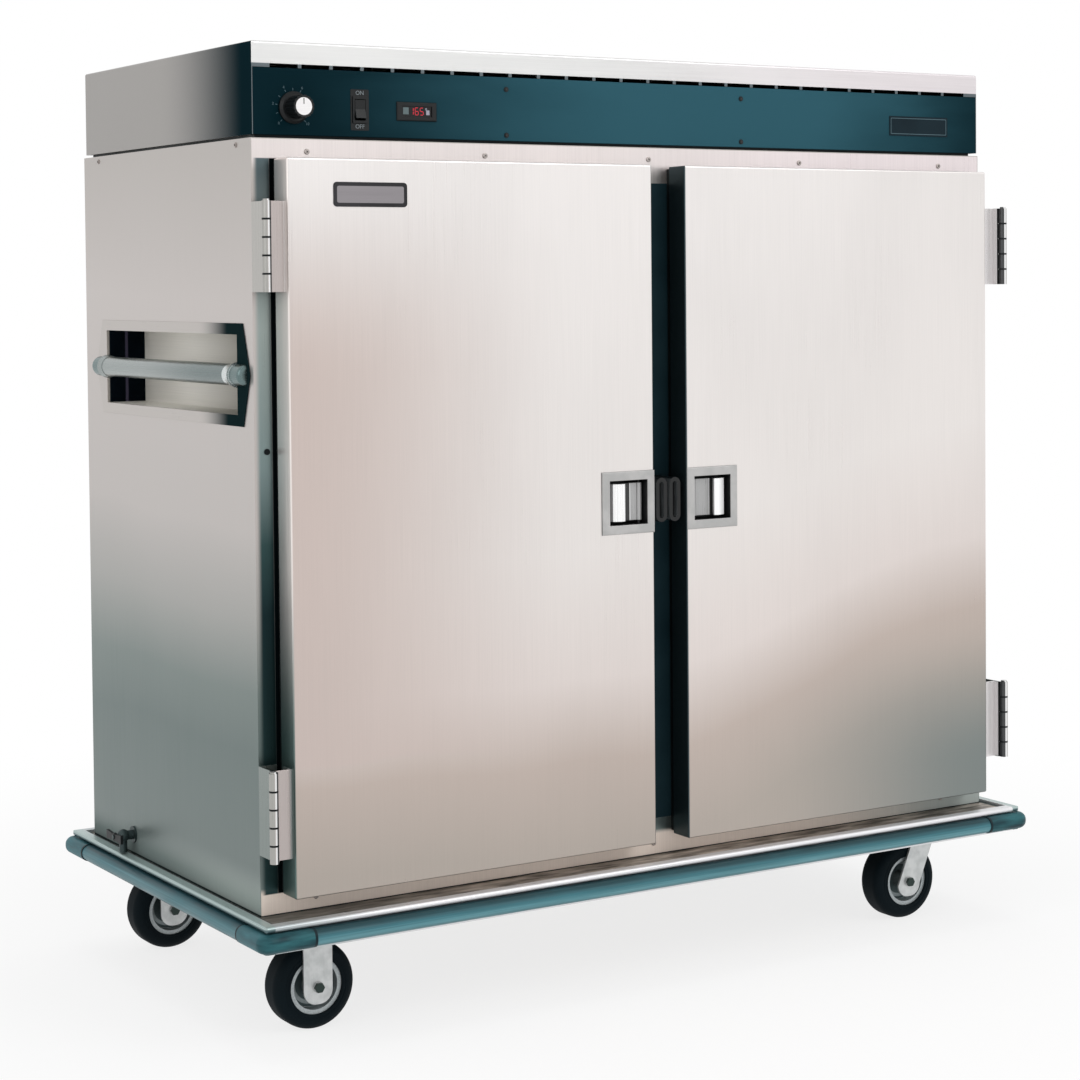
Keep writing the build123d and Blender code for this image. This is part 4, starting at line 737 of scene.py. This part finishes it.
looks = {
    "door": stainless_door(),
    "side": stainless_side(),
    "hood": stainless_hood(),
    "frame": stainless_frame(),
    "pocket": pocket_steel(),
    "handle_steel": handle_steel(),
    "base_steel": deck_steel(),
    "bumper_metal": bead_metal(),
    "vinyl": bumper_vinyl(),
    "cap": cap_vinyl(),
    "hinge_steel": hinge_steel(),
    "zinc": zinc(),
    "latch_metal": latch_metal(),
    "latch_chrome": paddle_chrome(),
    "strike": strike_black(),
    "left_hub": wheel_hub("left_hub", "front_left_hub"),
    "right_hub": wheel_hub("right_hub", "front_right_hub"),
    "liner_steel": stainless_plain("liner_steel", srgb(180, 181, 180), 0.3),
    "wire": stainless_plain("wire", srgb(184, 184, 184), 0.22),
    "fastener_steel": stainless_plain("fastener_steel", srgb(176, 168, 164), 0.3),
    "panel": panel_paint(),
    "insulation": fibre(),
    "shadow_steel": moulded("shadow_steel", srgb(16, 22, 24), srgb(30, 37, 39), 0.5, 300.0, 0.3),
    "black_trim": moulded("black_trim", srgb(4, 8, 11), srgb(9, 15, 18), 0.5, 600.0, gloss=0.2),
    "mullion": moulded("mullion", srgb(16, 34, 40), srgb(24, 44, 50), 0.5, 600.0, gloss=0.1),
    # Screw crosses: dark marks, a painted shade of the recesses
    "screw_cross": moulded("screw_cross", srgb(52, 50, 49), srgb(70, 66, 64), 0.5, 600.0),
    "seal_rubber": moulded("seal_rubber", srgb(5, 9, 11), srgb(12, 18, 20), 0.6, 400.0),
    "black_plastic": moulded("black_plastic", srgb(5, 8, 10), srgb(13, 17, 19), 0.45, 900.0),
    "dark_bolt": moulded("dark_bolt", srgb(40, 42, 43), srgb(60, 62, 62), 0.4, 500.0, 0.6),
    "heater_metal": moulded("heater_metal", srgb(126, 128, 128), srgb(160, 160, 158), 0.45, 300.0, 0.7),
    "motor_metal": moulded("motor_metal", srgb(44, 48, 52), srgb(60, 64, 68), 0.4, 500.0, 0.3),
    "drain_brass": moulded("drain_brass", srgb(40, 53, 55), srgb(70, 82, 82), 0.4, 500.0, 0.6),
    "tyre": moulded("tyre", srgb(3, 13, 18), srgb(8, 19, 24), 0.65, 300.0, gloss=0.1),
    "silver_disc": stainless_plain("silver_disc", srgb(228, 226, 226), 0.3, ALONG_X),
    "pale_mark": moulded("pale_mark", srgb(66, 88, 96), srgb(84, 104, 111), 0.5, 800.0, gloss=0.1),
    "switch_word": moulded("switch_word", srgb(112, 120, 124), srgb(132, 139, 142), 0.5, 800.0, gloss=0.1),
    "plate_black": moulded("plate_black", srgb(26, 26, 28), srgb(44, 43, 46), 0.35, 900.0, 0.2),
    "plate_face": stainless_plain("plate_face", srgb(140, 136, 139), 0.36, ALONG_X),
    "plate_dark": moulded("plate_dark", srgb(10, 26, 33), srgb(18, 36, 44), 0.4, 900.0, gloss=0.1),
    "display_glass": moulded("display_glass", srgb(8, 10, 12), srgb(16, 17, 20), 0.25, 900.0),
    "display_bar": moulded("display_bar", srgb(78, 94, 96), srgb(92, 106, 108), 0.4, 900.0),
    "red_led": glow("red_led", srgb(196, 48, 62), 0.35),
    "pale_led": glow("pale_led", srgb(150, 150, 162), 0.1),
}

# Slots and nodes whose finish has another name than the slot
slot_looks = {"stainless": "side", "frame_steel": "frame", "teal_panel": "panel", "bumper_vinyl": "vinyl"}
node_looks = {
    "left_door_skin": "door",
    "right_door_skin": "door",
    "hood_shell": "hood",
    "hood_base": "shadow_steel",
    "handle_pockets": "pocket",
    "bumper_corners": "cap",
    "center_mullion": "mullion",
    "latch_strikes": "strike",
    "left_latch_bolt": "dark_bolt",
    "right_latch_bolt": "dark_bolt",
    "front_left_hub": "left_hub",
    "rear_left_hub": "left_hub",
    "front_right_hub": "right_hub",
    "rear_right_hub": "right_hub",
}

# Nodes whose sharp edges are softened, by the width of the rounding
soft_edges = {
    0.0004: ("control_panel", "thermometer"),
    0.0005: ("frame_hinge_leaves", "left_door_hinge_leaves", "right_door_hinge_leaves", "switch_housing",
             "power_rocker"),
    0.0006: ("left_latch_housing", "right_latch_housing", "handle_pockets", "power_inlet"),
    0.0010: ("left_latch_paddle", "right_latch_paddle", "latch_strikes", "drain_handle"),
}


def soften(made, width):
    """Rounds the sharp edges of an object."""
    bevel = made.modifiers.new("bevel", "BEVEL")
    bevel.width = width
    bevel.segments = 2
    bevel.limit_method = "ANGLE"
    bevel.angle_limit = math.radians(40)


def dress_nodes():
    """Gives every node of the part the finish of its slot, or its own."""
    for part in frame["record"]["subparts"]:
        slot = part["material_slot"]
        look = node_looks.get(part["node"], slot_looks.get(slot, slot))
        slots = nodes[part["node"]].data.materials
        slots.clear()
        slots.append(looks[look])
    for width, names in soft_edges.items():
        for name in names:
            weld = nodes[name].modifiers.new("weld", "WELD")
            weld.merge_threshold = 0.00001
            soften(nodes[name], width)
            flat = nodes[name].modifiers.new("flat", "WEIGHTED_NORMAL")
            flat.keep_sharp = True


# Pieces made here

class Piece:
    """A mesh of flat-drawn solids, each drawn along Y from an (x, z) outline."""

    def __init__(self, name, look, body, slot):
        self.name = name
        self.look = look
        self.body = body
        self.slot = slot
        self.mesh = bmesh.new()
        self.turn = Matrix()

    def corner(self, x, y, z):
        return self.mesh.verts.new(self.turn @ Vector((x, y, z)))

    def prism(self, outline, near, far):
        fronts = [self.corner(x, near, z) for x, z in outline]
        backs = [self.corner(x, far, z) for x, z in outline]
        self.mesh.faces.new(fronts)
        self.mesh.faces.new(backs)
        for number in range(len(outline)):
            other = (number + 1) % len(outline)
            self.mesh.faces.new((fronts[number], fronts[other], backs[other], backs[number]))

    def ring(self, outer, inner, near, far):
        """A band between two outlines of as many points each."""
        loops = [[self.corner(x, y, z) for x, z in line] for line, y in (
            (outer, near), (inner, near), (inner, far), (outer, far))]
        for first, second in zip(loops, loops[1:] + loops[:1]):
            for number in range(len(outer)):
                other = (number + 1) % len(outer)
                self.mesh.faces.new((first[number], first[other], second[other], second[number]))

    def take(self, mesh):
        self.mesh.from_mesh(mesh)

    def done(self):
        bmesh.ops.recalc_face_normals(self.mesh, faces=self.mesh.faces)
        mesh = bpy.data.meshes.new(self.name)
        self.mesh.to_mesh(mesh)
        self.mesh.free()
        for face in mesh.polygons:
            face.use_smooth = False
        made = bpy.data.objects.new(self.name, mesh)
        bpy.context.scene.collection.objects.link(made)
        mesh.materials.append(looks[self.look])
        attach(made, self.body)
        return made


def disc(x, z, radius, steps=ROUND_STEPS):
    """A circle, as points evenly spaced."""
    turn = 2 * math.pi / steps
    return [(x + radius * math.cos(turn * n), z + radius * math.sin(turn * n)) for n in range(steps)]


def panel_shape(x, z, width, height, radius, steps=6):
    """A rectangle with rounded corners."""
    points = []
    for quarter, (sx, sz) in enumerate(((1, 1), (-1, 1), (-1, -1), (1, -1))):
        cx = x + sx * (width / 2 - radius)
        cz = z + sz * (height / 2 - radius)
        for number in range(steps + 1):
            angle = math.pi / 2 * (quarter + number / steps)
            points.append((cx + radius * math.cos(angle), cz + radius * math.sin(angle)))
    return points


def inset_shape(place, size, inset, radius):
    """A rounded rectangle, drawn in from a size all round."""
    width, height = (length - 2 * inset for length in size)
    return panel_shape(*place, width, height, radius)


def bar_shape(x, z, length, width, angle):
    """A short straight mark, turned by an angle."""
    along = Vector((math.cos(angle), math.sin(angle))) * length / 2
    across = Vector((-math.sin(angle), math.cos(angle))) * width / 2
    middle = Vector((x, z))
    return [tuple(middle + a * along + b * across) for a, b in ((-1, -1), (1, -1), (1, 1), (-1, 1))]


def word_mesh(text, x, y, z, size):
    """Letters or figures standing on a face that looks along -Y."""
    curve = bpy.data.curves.new("word", "FONT")
    curve.body = text
    curve.size = size
    curve.align_x = "CENTER"
    curve.align_y = "CENTER"
    curve.extrude = MARK
    holder = bpy.data.objects.new("word", curve)
    bpy.context.scene.collection.objects.link(holder)
    bpy.context.view_layer.update()
    graph = bpy.context.evaluated_depsgraph_get()
    mesh = bpy.data.meshes.new_from_object(holder.evaluated_get(graph))
    mesh.transform(Matrix.Translation((x, y, z)) @ Matrix.Rotation(math.pi / 2, 4, "X"))
    bpy.data.objects.remove(holder)
    return mesh


# The lit segments of the figures in the reading
SEGMENTS = {1: "bc", 5: "afgcd", 6: "afgedc"}


def figure(piece, value, x, z, near, far):
    """One seven-segment figure."""
    width, height = FIGURE_SIZE
    half = width / 2
    tall = height / 2
    places = {
        "a": (x, z + tall, width, 0.0), "g": (x, z, width, 0.0), "d": (x, z - tall, width, 0.0),
        "f": (x - half, z + tall / 2, tall, 1.0), "b": (x + half, z + tall / 2, tall, 1.0),
        "e": (x - half, z - tall / 2, tall, 1.0), "c": (x + half, z - tall / 2, tall, 1.0),
    }
    for name in SEGMENTS[value]:
        px, pz, length, upright = places[name]
        stroke = bar_shape(px, pz, length - FIGURE_STROKE, FIGURE_STROKE, upright * math.pi / 2)
        piece.prism(stroke, near, far)


def make_knob_marks():
    """The dial round the knob, its silver face and its pointer."""
    x, _, z = middle_of("thermostat_knob")
    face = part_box("thermostat_knob")[0][1]
    cap = Piece("knob_face", "silver_disc", "knob", "fastener_steel")
    cap.prism(disc(x, z, KNOB_DISC), face + MARK, face + KNOB_DISC_DEPTH)
    cap.done()
    pointer = Piece("knob_pointer", "black_plastic", "knob", "black_plastic")
    pointer.prism(bar_shape(x, z + POINTER_LIFT, *POINTER_SIZE, math.pi / 2), face, face + MARK)
    pointer.done()
    dial = Piece("dial_marks", "pale_mark", "cabinet", "black_plastic")
    for number in range(DIAL_MARKS):
        angle = math.radians(DIAL_START - DIAL_STEP * number)
        spot = (x + TICK_RADIUS * math.cos(angle), z + TICK_RADIUS * math.sin(angle))
        dial.prism(bar_shape(*spot, *TICK_SIZE, angle), PANEL_FACE - MARK, PANEL_FACE)
        if number % 2 == 0:
            spot = (x + NUMBER_RADIUS * math.cos(angle), z + NUMBER_RADIUS * math.sin(angle))
            dial.take(word_mesh(str(number), spot[0], PANEL_FACE - MARK, spot[1], NUMBER_SIZE))
    dial.done()


def make_switch_plate():
    """A black plate round the rocker switch, marked for its two ways."""
    x, _, z = middle_of("switch_housing")
    low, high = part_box("switch_housing")
    plate = Piece("switch_plate", "black_plastic", "cabinet", "black_plastic")
    outer = panel_shape(x, z, *SWITCH_PLATE, SWITCH_ROUND)
    inner = panel_shape(x, z, high[0] - low[0], high[2] - low[2], SWITCH_HOLE_ROUND)
    plate.ring(outer, inner, PANEL_FACE - SWITCH_SHEET, PANEL_FACE)
    plate.done()
    words = Piece("switch_words", "switch_word", "cabinet", "black_plastic")
    for text, lift in (("ON", WORD_LIFT), ("OFF", -WORD_LIFT)):
        words.take(word_mesh(text, x, PANEL_FACE - SWITCH_SHEET - MARK, z + lift, WORD_SIZE))
    words.done()


def make_display():
    """The thermometer's dark window, with red figures between a bar and a pale mark."""
    x, _, z = middle_of("thermometer")
    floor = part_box("thermometer")[0][1] + WINDOW_DEPTH
    glass = Piece("display_glass", "display_glass", "cabinet", "black_plastic")
    glass.prism(panel_shape(x, z, *WINDOW_SIZE, WINDOW_ROUND), floor - MARK, floor)
    glass.done()
    near, far = floor - 2 * MARK, floor - MARK
    bar = Piece("display_bar", "display_bar", "cabinet", "black_plastic")
    bar.prism(panel_shape(x + BAR_PLACE[0], z + BAR_PLACE[1], *BAR_SIZE, WINDOW_ROUND), near, far)
    bar.done()
    figures = Piece("display_figures", "red_led", "cabinet", "black_plastic")
    for number, value in enumerate(READING):
        figure(figures, value, x + FIGURE_STEP * (number - 1), z + FIGURE_LIFT, near, far)
    figures.done()
    mark = Piece("display_mark", "pale_led", "cabinet", "black_plastic")
    outer, inner = (disc(x + RING_PLACE[0], z + RING_PLACE[1], radius, RING_STEPS) for radius in RING_RADII)
    mark.ring(outer, inner, near, far)
    mark.prism(panel_shape(x + BLOCK_PLACE[0], z + BLOCK_PLACE[1], *BLOCK_SIZE, WINDOW_ROUND), near, far)
    mark.done()


def make_plates():
    """Two bare plates: one on the left door, one on the panel."""
    door = Piece("door_plate", "plate_black", "left_door", "black_plastic")
    outline = inset_shape(DOOR_PLATE, DOOR_PLATE_SIZE, 0.0, DOOR_PLATE_ROUND)
    door.prism(outline, DOOR_FRONT - PLATE, DOOR_FRONT)
    door.done()
    face = Piece("door_plate_face", "plate_face", "left_door", "fastener_steel")
    outline = inset_shape(DOOR_PLATE, DOOR_PLATE_SIZE, DOOR_PLATE_EDGE, DOOR_FACE_ROUND)
    face.prism(outline, DOOR_FRONT - PLATE - MARK, DOOR_FRONT - PLATE)
    face.done()
    panel = Piece("panel_plate", "plate_dark", "cabinet", "black_plastic")
    outline = inset_shape(PANEL_PLATE, PANEL_PLATE_SIZE, 0.0, PANEL_PLATE_ROUND)
    panel.prism(outline, PANEL_FACE - PLATE, PANEL_FACE)
    panel.done()
    rim = Piece("panel_plate_rim", "pale_mark", "cabinet", "black_plastic")
    outer = inset_shape(PANEL_PLATE, PANEL_PLATE_SIZE, PANEL_RIM_INSET, PANEL_PLATE_ROUND)
    inner = inset_shape(PANEL_PLATE, PANEL_PLATE_SIZE, PANEL_RIM_INSET + PANEL_RIM_WIDTH, PANEL_RIM_ROUND)
    rim.ring(outer, inner, PANEL_FACE - PLATE - MARK, PANEL_FACE - PLATE)
    rim.done()


def cross(slots, x, z, y):
    """The two slots of a screw's cross, as dark marks that paint the shade of its recess."""
    for angle in (CROSS_TURN, CROSS_TURN + math.pi / 2):
        slots.prism(bar_shape(x, z, *CROSS_SIZE, angle), y - MARK, y)


def screw(heads, slots, x, z, y):
    """A raised head and its cross, on a face that looks along -Y."""
    heads.prism(disc(x, z, SCREW_RADIUS, SMALL_STEPS), y - SCREW_HEIGHT, y)
    heads.prism(disc(x, z, CROWN_RADIUS, SMALL_STEPS), y - CROWN_HEIGHT, y - SCREW_HEIGHT)
    cross(slots, x, z, y - CROWN_HEIGHT)


def make_screws():
    """Panel and side screws, the crosses of the frame's screws, and a plug in the left stile."""
    dark = Piece("panel_screws", "black_plastic", "cabinet", "black_plastic")
    heads = Piece("side_screws", "fastener_steel", "cabinet", "fastener_steel")
    slots = Piece("screw_crosses", "screw_cross", "cabinet", "black_trim")
    for x in PANEL_SCREWS_X:
        for z in PANEL_SCREWS_Z:
            screw(dark, slots, x, z, PANEL_FACE)
    dark.done()
    low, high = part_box("cabinet_screws")
    span = high[0] - FRAME_SCREW_RADIUS
    rows = ((TOP_RAIL_SCREWS, high[2] - FRAME_SCREW_RADIUS), (LOW_RAIL_SCREWS, low[2] + FRAME_SCREW_RADIUS))
    for count, z in rows:
        for number in range(count):
            cross(slots, -span + 2 * span * number / (count - 1), z, low[1])
    for side in (-1, 1):
        for y in SIDE_SCREWS_Y:
            place = Matrix.Translation((side * SIDE, y, SIDE_SCREW_Z))
            turn = place @ Matrix.Rotation(side * math.pi / 2, 4, "Z")
            heads.turn = turn
            slots.turn = turn
            screw(heads, slots, 0.0, 0.0, 0.0)
    heads.done()
    slots.done()
    plug = Piece("stile_plug", "black_trim", "cabinet", "black_trim")
    plug.prism(disc(*PLUG_PLACE, PLUG_RADIUS, SMALL_STEPS), FRONT - PLUG_HEIGHT, FRONT)
    plug.done()


def make_hinge_seams():
    """Dark rings where the knuckles of each hinge meet, a painted shade of the gaps between them."""
    seams = Piece("hinge_seams", "black_trim", "cabinet", "black_trim")
    low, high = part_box("left_door_hinge_leaves")
    outer = disc(0.0, 0.0, KNUCKLE + SEAM_PROUD, SMALL_STEPS)
    inner = disc(0.0, 0.0, KNUCKLE, SMALL_STEPS)
    for side in (-1, 1):
        for start in (low[2], high[2] - HINGE_HEIGHT):
            for number in range(1, KNUCKLES):
                z = start + HINGE_HEIGHT * number / KNUCKLES
                place = Matrix.Translation((side * HINGE_X, HINGE_Y, z))
                seams.turn = place @ Matrix.Rotation(math.pi / 2, 4, "X")
                seams.ring(outer, inner, -SEAM_HALF, SEAM_HALF)
    seams.done()


def make_tyre_rings():
    """Raised rings on the tyres' sides."""
    for end in ("front", "rear"):
        for side in ("left", "right"):
            low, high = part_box(f"{end}_{side}_tyre")
            x, _, z = middle_of(f"{end}_{side}_tyre")
            rings = Piece(f"{end}_{side}_tyre_rings", "tyre", f"{end}_{side}_wheel", "tyre")
            for radius in TYRE_RINGS:
                outer = disc(x, z, radius + TYRE_RING_HALF)
                inner = disc(x, z, radius - TYRE_RING_HALF)
                rings.ring(outer, inner, low[1] - TYRE_RING_PROUD, low[1] + MARK)
                rings.ring(outer, inner, high[1] - MARK, high[1] + TYRE_RING_PROUD)
            rings.done()


def leg_shape(x, trail, top, steps=10):
    """A fork's leg, from under its plate at x down to a round end below an axle set back by the trail."""
    points = [(x + LEG_HALF, top), (x - LEG_HALF, top)]
    for quarter, side in enumerate((-1, 1)):
        middle = x - trail + side * (LEG_HALF - LEG_ROUND)
        for number in range(steps + 1):
            angle = math.pi + math.pi / 2 * (quarter + number / steps)
            points.append((middle + LEG_ROUND * math.cos(angle), LEG_LOW + LEG_ROUND * (1 + math.sin(angle))))
    return points


def add_legs(piece, hub, trail, top):
    """The two legs of a fork, one on each side of a hub."""
    low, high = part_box(hub)
    outline = leg_shape(middle_of(hub)[0] + trail, trail, top)
    for face, way in ((low[1], -1), (high[1], 1)):
        inner = face + way * LEG_GAP
        piece.prism(outline, inner, inner + way * LEG_SHEET)


def make_fork_legs():
    """Round-ended legs over the plain ones of the forks."""
    rigid = Piece("rigid_fork_legs", "zinc", "cabinet", "zinc")
    for end in ("front", "rear"):
        add_legs(rigid, f"{end}_left_hub", 0.0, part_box("rigid_caster_forks")[1][2] - CASTER_PLATE)
        swivel = Piece(f"{end}_swivel_legs", "zinc", f"{end}_swivel", "zinc")
        add_legs(swivel, f"{end}_right_hub", CASTER_TRAIL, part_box(f"{end}_swivel_fork")[1][2])
        soften(swivel.done(), LEG_BEVEL)
    soften(rigid.done(), LEG_BEVEL)


# Studio

def aim():
    """The camera's right, up and forward directions."""
    yaw, pitch, roll = (math.radians(angle) for angle in (CAMERA_YAW, CAMERA_PITCH, CAMERA_ROLL))
    ahead = Vector((math.sin(yaw), math.cos(yaw), 0.0))
    right = Vector((math.cos(yaw), -math.sin(yaw), 0.0))
    top = Vector((0.0, 0.0, 1.0))
    forward = ahead * math.cos(pitch) - top * math.sin(pitch)
    upward = top * math.cos(pitch) + ahead * math.sin(pitch)
    rolled_right = right * math.cos(roll) + upward * math.sin(roll)
    rolled_up = upward * math.cos(roll) - right * math.sin(roll)
    return rolled_right, rolled_up, forward


def make_camera():
    data = bpy.data.cameras.new("camera")
    data.lens = CAMERA_LENS
    data.sensor_width = CAMERA_SENSOR
    data.shift_x, data.shift_y = CAMERA_SHIFT
    data.clip_end = CAMERA_REACH
    camera = bpy.data.objects.new("camera", data)
    bpy.context.scene.collection.objects.link(camera)
    right, upward, forward = aim()
    turn = Matrix((right, upward, -forward)).transposed().to_4x4()
    camera.matrix_world = Matrix.Translation(CAMERA_PLACE) @ turn
    bpy.context.scene.camera = camera


def seen_rays(tree):
    """One for what the camera or a shiny or clear surface sees, and nought otherwise."""
    rays = tree.nodes.new("ShaderNodeLightPath")
    seen = rays.outputs["Is Camera Ray"]
    for name in ("Is Glossy Ray", "Is Transmission Ray"):
        either = tree.nodes.new("ShaderNodeMath")
        either.operation = "MAXIMUM"
        tree.links.new(seen, either.inputs[0])
        tree.links.new(rays.outputs[name], either.inputs[1])
        seen = either.outputs[0]
    return seen


def make_floor():
    """A plain pale floor that keeps the shadow and goes to white further out."""
    mesh = bpy.data.meshes.new("floor")
    half = FLOOR_SIZE / 2
    corners = [(-half, -half, 0), (half, -half, 0), (half, half, 0), (-half, half, 0)]
    mesh.from_pydata(corners, [], [(0, 1, 2, 3)])
    floor = bpy.data.objects.new("floor", mesh)
    bpy.context.scene.collection.objects.link(floor)
    finish = Finish("floor", 0.0, 0.9, 0.0)
    finish.set("Base Color", srgb(246, 246, 246))
    output = finish.tree.nodes["Material Output"]
    white = finish.node("ShaderNodeEmission")
    white.inputs["Strength"].default_value = 1.0
    length = finish.node("ShaderNodeVectorMath", operation="LENGTH")
    finish.feed(length.inputs[0], finish.place)
    far = finish.spread(length.outputs["Value"], FLOOR_NEAR, FLOOR_FAR, FLOOR_GLOW, 1.0)
    blend = finish.node("ShaderNodeMixShader")
    finish.feed(blend.inputs[0], finish.times(seen_rays(finish.tree), far))
    finish.feed(blend.inputs[1], finish.shader.outputs[0])
    finish.feed(blend.inputs[2], white.outputs[0])
    finish.feed(output.inputs["Surface"], blend.outputs[0])
    mesh.materials.append(finish.material)


def make_world():
    """Even soft light, and white where the camera or a shiny surface sees past the floor."""
    world = bpy.data.worlds.new("studio")
    world.use_nodes = True
    bpy.context.scene.world = world
    tree = world.node_tree
    sky = tree.nodes["Background"]
    sky.inputs["Color"].default_value = (1.0, 1.0, 1.0, 1.0)
    sky.inputs["Strength"].default_value = WORLD_LEVEL
    white = tree.nodes.new("ShaderNodeBackground")
    white.inputs["Color"].default_value = (1.0, 1.0, 1.0, 1.0)
    white.inputs["Strength"].default_value = 1.0
    blend = tree.nodes.new("ShaderNodeMixShader")
    tree.links.new(seen_rays(tree), blend.inputs[0])
    tree.links.new(sky.outputs[0], blend.inputs[1])
    tree.links.new(white.outputs[0], blend.inputs[2])
    tree.links.new(blend.outputs[0], tree.nodes["World Output"].inputs["Surface"])


def make_lamp(name, place, target, size, power, mirrored=True):
    data = bpy.data.lights.new(name, "AREA")
    data.shape = "RECTANGLE"
    data.size, data.size_y = size
    data.energy = power
    lamp = bpy.data.objects.new(name, data)
    bpy.context.scene.collection.objects.link(lamp)
    lamp.location = place
    lamp.rotation_euler = (Vector(target) - Vector(place)).to_track_quat("-Z", "Y").to_euler()
    lamp.visible_glossy = mirrored


def make_lights():
    middle = (0.0, 0.0, 0.8)
    make_lamp("key", (2.5, -5.0, 4.5), middle, (3.0, 3.0), 90.0)
    make_lamp("low", (-0.6, -5.5, 0.45), (0.0, -0.4, 0.2), (4.0, 0.7), 40.0, mirrored=False)
    make_lamp("fill", (-5.0, -2.0, 3.0), middle, (3.0, 3.0), 35.0)
    make_lamp("top", (0.0, 0.5, 5.5), middle, (4.0, 4.0), 60.0, mirrored=False)


dress_nodes()
make_knob_marks()
make_switch_plate()
make_display()
make_plates()
make_screws()
make_hinge_seams()
make_tyre_rings()
make_fork_legs()
make_camera()
make_floor()
make_world()
make_lights()

bpy.context.scene.view_settings.view_transform = "Standard"
